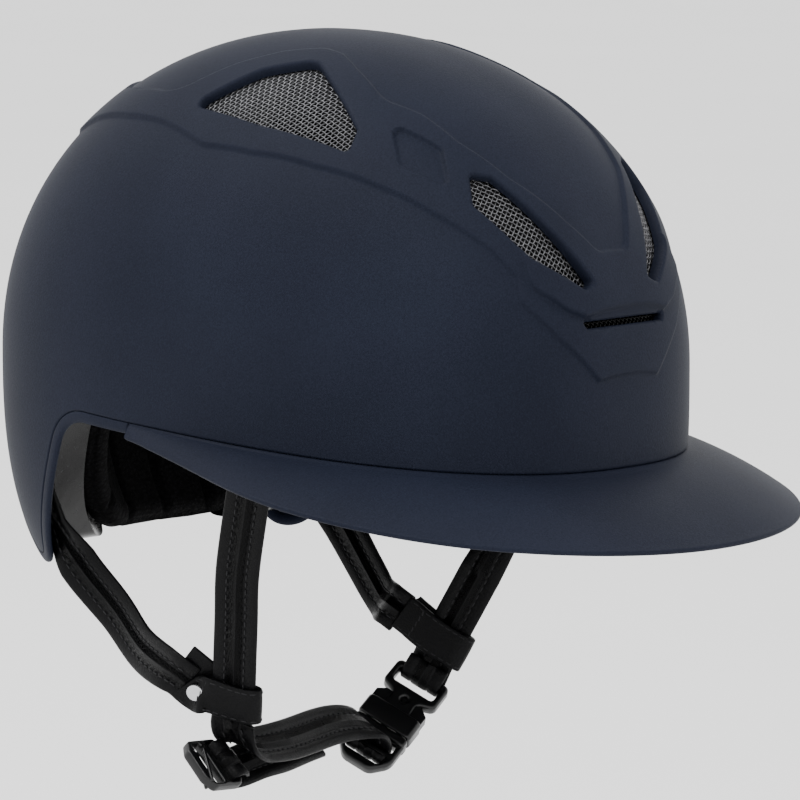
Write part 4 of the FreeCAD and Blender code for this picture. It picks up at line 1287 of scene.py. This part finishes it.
makeStrap("frontStrapRight", "right_front_strap", rightFront, "helmet")
makeStrap("frontStrapLeft", "left_front_strap", leftFront, "helmet", stop=24)
rearStrapRight = makeStrap("rearStrapRight", "right_rear_strap", rightRear, None, stop=3)
rearStrapLeft = makeStrap("rearStrapLeft", "left_rear_strap", leftRear, None, stop=3)
chinStrap = makeStrap("chinStrap", "chin_strap", chin, None, stop=16)
makeStrap("chinStrapTail", "chin_strap_tail", tail, "helmet", start=16)
print("straps made")

# Yoke loops: one leather band round each front strap

yokeForm = {
    "width": 15.4, "wall": 1.8, "lift": 2.4, "turn": 10.9, "root": 20.5, "edgeIn": 1.6,
    "crossAt": 12.8, "crossGap": 2.6, "crossLength": 2.1, "crossSlant": 0.3, "crossRadius": 0.33,
    "rivetAside": 1.2, "rivetEnd": 5.0,   # how far the band's end reaches past the rivet
}


def bandAt(place, ways, tilt, s, z, aside=0.0):
    ear, over = earWays(ways, tilt)
    return place + ear * s + ways[2] * z + over * aside, over


# The band starts under the rivet where there is one, turns round the strap and ends behind it
def buildYoke(name, node, body, place, ways, tilt, tab, rivetNode=None):
    f, face = yokeForm, 1 if np.dot(ways[2], view["back"]) > 0 else -1
    lift, turn, root = f["lift"] * face, f["turn"], f["root"]
    aside, raised = 0.0, 0.62
    if rivetNode:
        rivet = np.mean(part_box(rivetNode), axis=0) / mm - place
        ear, over = earWays(ways, tilt)
        aside, root, raised = float(rivet @ over) + f["rivetAside"], float(rivet @ ear) + f["rivetEnd"], 0.2

    def tiltAt(s):
        return tilt * float(smooth((s + turn) / (root + turn)))

    # Along the band, out of its face as a share of the lift, to its side
    rows = [(root, raised, aside), (root - 5, raised, aside), (12, 0.95, aside * 0.5), (4, 1.06, 0), (-5, 1, 0),
            (-turn + 2.2, 0.82, 0), (-turn, 0, 0), (-turn + 2.2, -0.82, 0), (-5, -1, 0), (4, -1, -0.4),
            (13, -0.9, -1.0), (root, -0.6, -1.6), (tab, -0.6, -2.2)]
    stations = [bandAt(place, ways, tiltAt(s), s, lift * z, side) for s, z, side in rows]
    points, faces, ride = strapBody(stations, f["width"], f["wall"], False)
    row = f["width"] / 2 - f["edgeIn"]
    edge = stitchesAlong(ride, 3, 3, (row, -row), f["wall"], (face,))
    high = (f["lift"] + f["wall"] / 2 - 0.25) * face
    middle, over = bandAt(place, ways, tiltAt(f["crossAt"]), f["crossAt"], high)
    slant = over + np.cross(over, ways[2]) * f["crossSlant"]
    steps = np.linspace(-0.5, 0.5, 5)[:, None] * f["crossLength"]
    cross = [middle + over * (k * f["crossGap"] + aside * 0.5) + slant * steps for k in range(-2, 3)]
    leatherPiece(name, node, body, [(0, (points, faces)), (1, edge), (1, tubes(cross, f["crossRadius"], 6))])


buildYoke("yokeBandRight", "right_yoke_loop", "right_yoke", rightYokePlace, rightYoke, harness["rightTilt"],
          25.0, "right_yoke_rivet")
buildYoke("yokeBandLeft", "left_yoke_loop", "left_yoke", leftYokePlace, leftYoke, harness["leftTilt"], 22.0)
print("yoke bands made")

# Buckle and adjuster: moulded plates with rounded edges


# A flat plate with gaps, as points and faces, from corners with their radii
def plate(outline, gaps, thickness, roundEdge):
    curve = bpy.data.curves.new("plate", "CURVE")
    curve.dimensions = "2D"
    curve.fill_mode = "BOTH"
    curve.extrude = thickness / 2 - roundEdge
    curve.bevel_depth, curve.bevel_resolution, curve.offset = roundEdge, 3, -roundEdge
    for path in [outline] + gaps:
        ring = roundedPath(path, 0.6)
        spline = curve.splines.new("POLY")
        spline.points.add(len(ring) - 1)
        for point, (a, b) in zip(spline.points, ring):
            point.co = (a, b, 0, 1)
        spline.use_cyclic_u = True
    piece = bpy.data.objects.new("plate", curve)
    mesh = bpy.data.meshes.new_from_object(piece)
    points = np.array([v.co for v in mesh.vertices])
    faces = [list(f.vertices) for f in mesh.polygons]
    bpy.data.objects.remove(piece)
    bpy.data.curves.remove(curve)
    bpy.data.meshes.remove(mesh)
    return points, faces


def bothHalves(path):
    return path + [(x, -y, r) for x, y, r in reversed(path)]


# A hollow box open at its mouth, with rounded corners
def boxShell(form):
    start, end = form["ends"]
    half, thick, wall, corner = form["half"], form["thick"], form["wall"], form["corner"]

    def ringOf(a, b, radius):
        path = roundedPath([(-a, -b, radius), (a, -b, radius), (a, b, radius), (-a, b, radius)], 0.5)
        steps = np.linspace(0, len(path), form["points"], endpoint=False)
        return np.stack([np.interp(steps, np.arange(len(path) + 1), np.append(path[:, k], path[0, k]))
                         for k in (0, 1)], -1)

    outer, inner = ringOf(half, thick, corner), ringOf(half - wall, thick - wall, corner * 0.6)
    rings = []
    for x, ring, size in ((start, outer, 0.9), (start + 0.3, outer, 0.965), (start + 1.0, outer, 1.0),
                          (end - 1.0, outer, 1.0), (end - 0.3, outer, 0.975), (end, outer, 0.94),
                          (end, inner, 1.0), (start + wall, inner, 1.0)):
        rings.append(np.insert(ring * size, 0, x, axis=1))
    rows, columns = len(rings), form["points"]
    faces = sheetFaces(rows, columns, closed=True) + [f[::-1] for f in endFaces(rows, columns)]
    return np.concatenate(rings), faces


def plasticPiece(name, node, body, parts, origin, ways):
    points, faces, _ = joinParts([(0, part) for part in parts])
    makePiece(name, np.asarray(origin) + points @ np.array(ways), faces, [finish["plastic"]], body,
              [node])


# Half outlines along the buckle from its mouth: along, across, corner radius
socketForm = {
    "back": [(-9.2, 12.3, 1.5), (-10.4, 6.6, 2.0), (-16.2, 5.6, 2.5), (-19.0, 12.6, 3.0), (-31.4, 12.4, 2.6)],
    "slot": [(-21.6, 9.6, 1.4), (-28.4, 9.6, 1.4)], "eyeAt": -15.6, "eyeRadius": 1.5,
    "thick": 5.6, "roundEdge": 1.3,
    "box": {"ends": (-9.5, 0.0), "half": 12.5, "thick": 4.8, "wall": 1.7, "corner": 2.0, "points": 160},
}
plugForm = {
    "ladder": [(0.4, 12.4, 1.0), (13.5, 12.6, 7.0), (20.6, 6.4, 5.0)],
    "slots": [[(5.0, 9.7, 1.2), (8.9, 9.7, 1.2)], [(12.1, 9.5, 1.2), (16.2, 8.0, 2.0)]],
    "shoulder": [(0.4, 12.4, 1.2), (4.4, 12.4, 1.2)], "tongue": [(-17, 1.5, 0.6), (3, 1.5, 0.2)],
    "thick": (5.2, 8.4, 3.4), "roundEdge": (1.3, 1.1, 0.5),
}


def buildBuckle():
    form = socketForm
    at, radius = form["eyeAt"], form["eyeRadius"]
    eye = [(at + radius * math.cos(k * math.pi / 6), radius * math.sin(k * math.pi / 6), 0)
           for k in range(12)]
    back = plate(bothHalves(form["back"]), [bothHalves(form["slot"]), eye], form["thick"], form["roundEdge"])
    plasticPiece("buckleSocketBody", "buckle_socket", "helmet", [back, boxShell(form["box"])],
                 buckle["mouth"], buckleFrame)
    form = plugForm
    gaps = [[bothHalves(slot) for slot in form["slots"]], [], []]
    plates = [plate(bothHalves(form[key]), gap, thick, roundEdge) for key, gap, thick, roundEdge
              in zip(("ladder", "shoulder", "tongue"), gaps, form["thick"], form["roundEdge"])]
    plasticPiece("bucklePlugBody", "buckle_plug", "plug", plates, buckle["mouth"], buckleFrame)


def buildAdjuster():
    half, long = adjust["width"] / 2, 1.5 * adjust["bar"] + adjust["slot"]
    inner, near, far = half - adjust["rail"], adjust["bar"] / 2, adjust["bar"] / 2 + adjust["slot"]
    outline = [(long, half - 2.5, 2.0), (long - 2.5, half, 2.0), (-long + 2.0, half, 2.5),
               (-long - 1.2, half - 5, 3.0)]
    gaps = [[(near + 0.2, inner, 0.8), (far, inner, 0.8)], [(-far, inner, 0.8), (-near - 0.2, inner, 0.8)]]
    body = plate(bothHalves(outline), [bothHalves(gap) for gap in gaps], adjust["wall"], adjust["roundEdge"])
    x, y = np.linspace(-long + 0.6, -near + 0.2, 9), np.linspace(-half + 2.4, half - 3.4, 9)
    lines = [np.stack([x, y, np.full(9, sign * adjust["wall"] / 2)], -1) for sign in (1, -1)]
    ribs = tubes(lines, adjust["rib"], 8)
    plasticPiece("adjusterFrame", "strap_adjuster", "helmet", [body, ribs], adjust["centre"], adjustFrame)


buildBuckle()
buildAdjuster()
print("buckle and adjuster made")


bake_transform(rearStrapRight)
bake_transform(rearStrapLeft)
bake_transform(chinStrap)

# Floor, sizes

low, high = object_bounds()


def paleFloor():
    material, t = startFinish("paleFloor")
    shade = noise(t, place(t), 3, 2)
    endFinish(material, t, shade.colours(*studio["floorShade"]), 0.8)
    mesh = bpy.data.meshes.new("paleFloor")
    size, z = studio["floorSize"], low.z - studio["floorDrop"]
    corners = [(-size, -size, z), (size, -size, z), (size, size, z), (-size, size, z)]
    mesh.from_pydata(corners, [], [(0, 1, 2, 3)])
    mesh.materials.append(material)
    floor = bpy.data.objects.new("paleFloor", mesh)
    bpy.context.scene.collection.objects.link(floor)


paleFloor()
print("visual box", [round(c, 4) for c in low], [round(c, 4) for c in high])
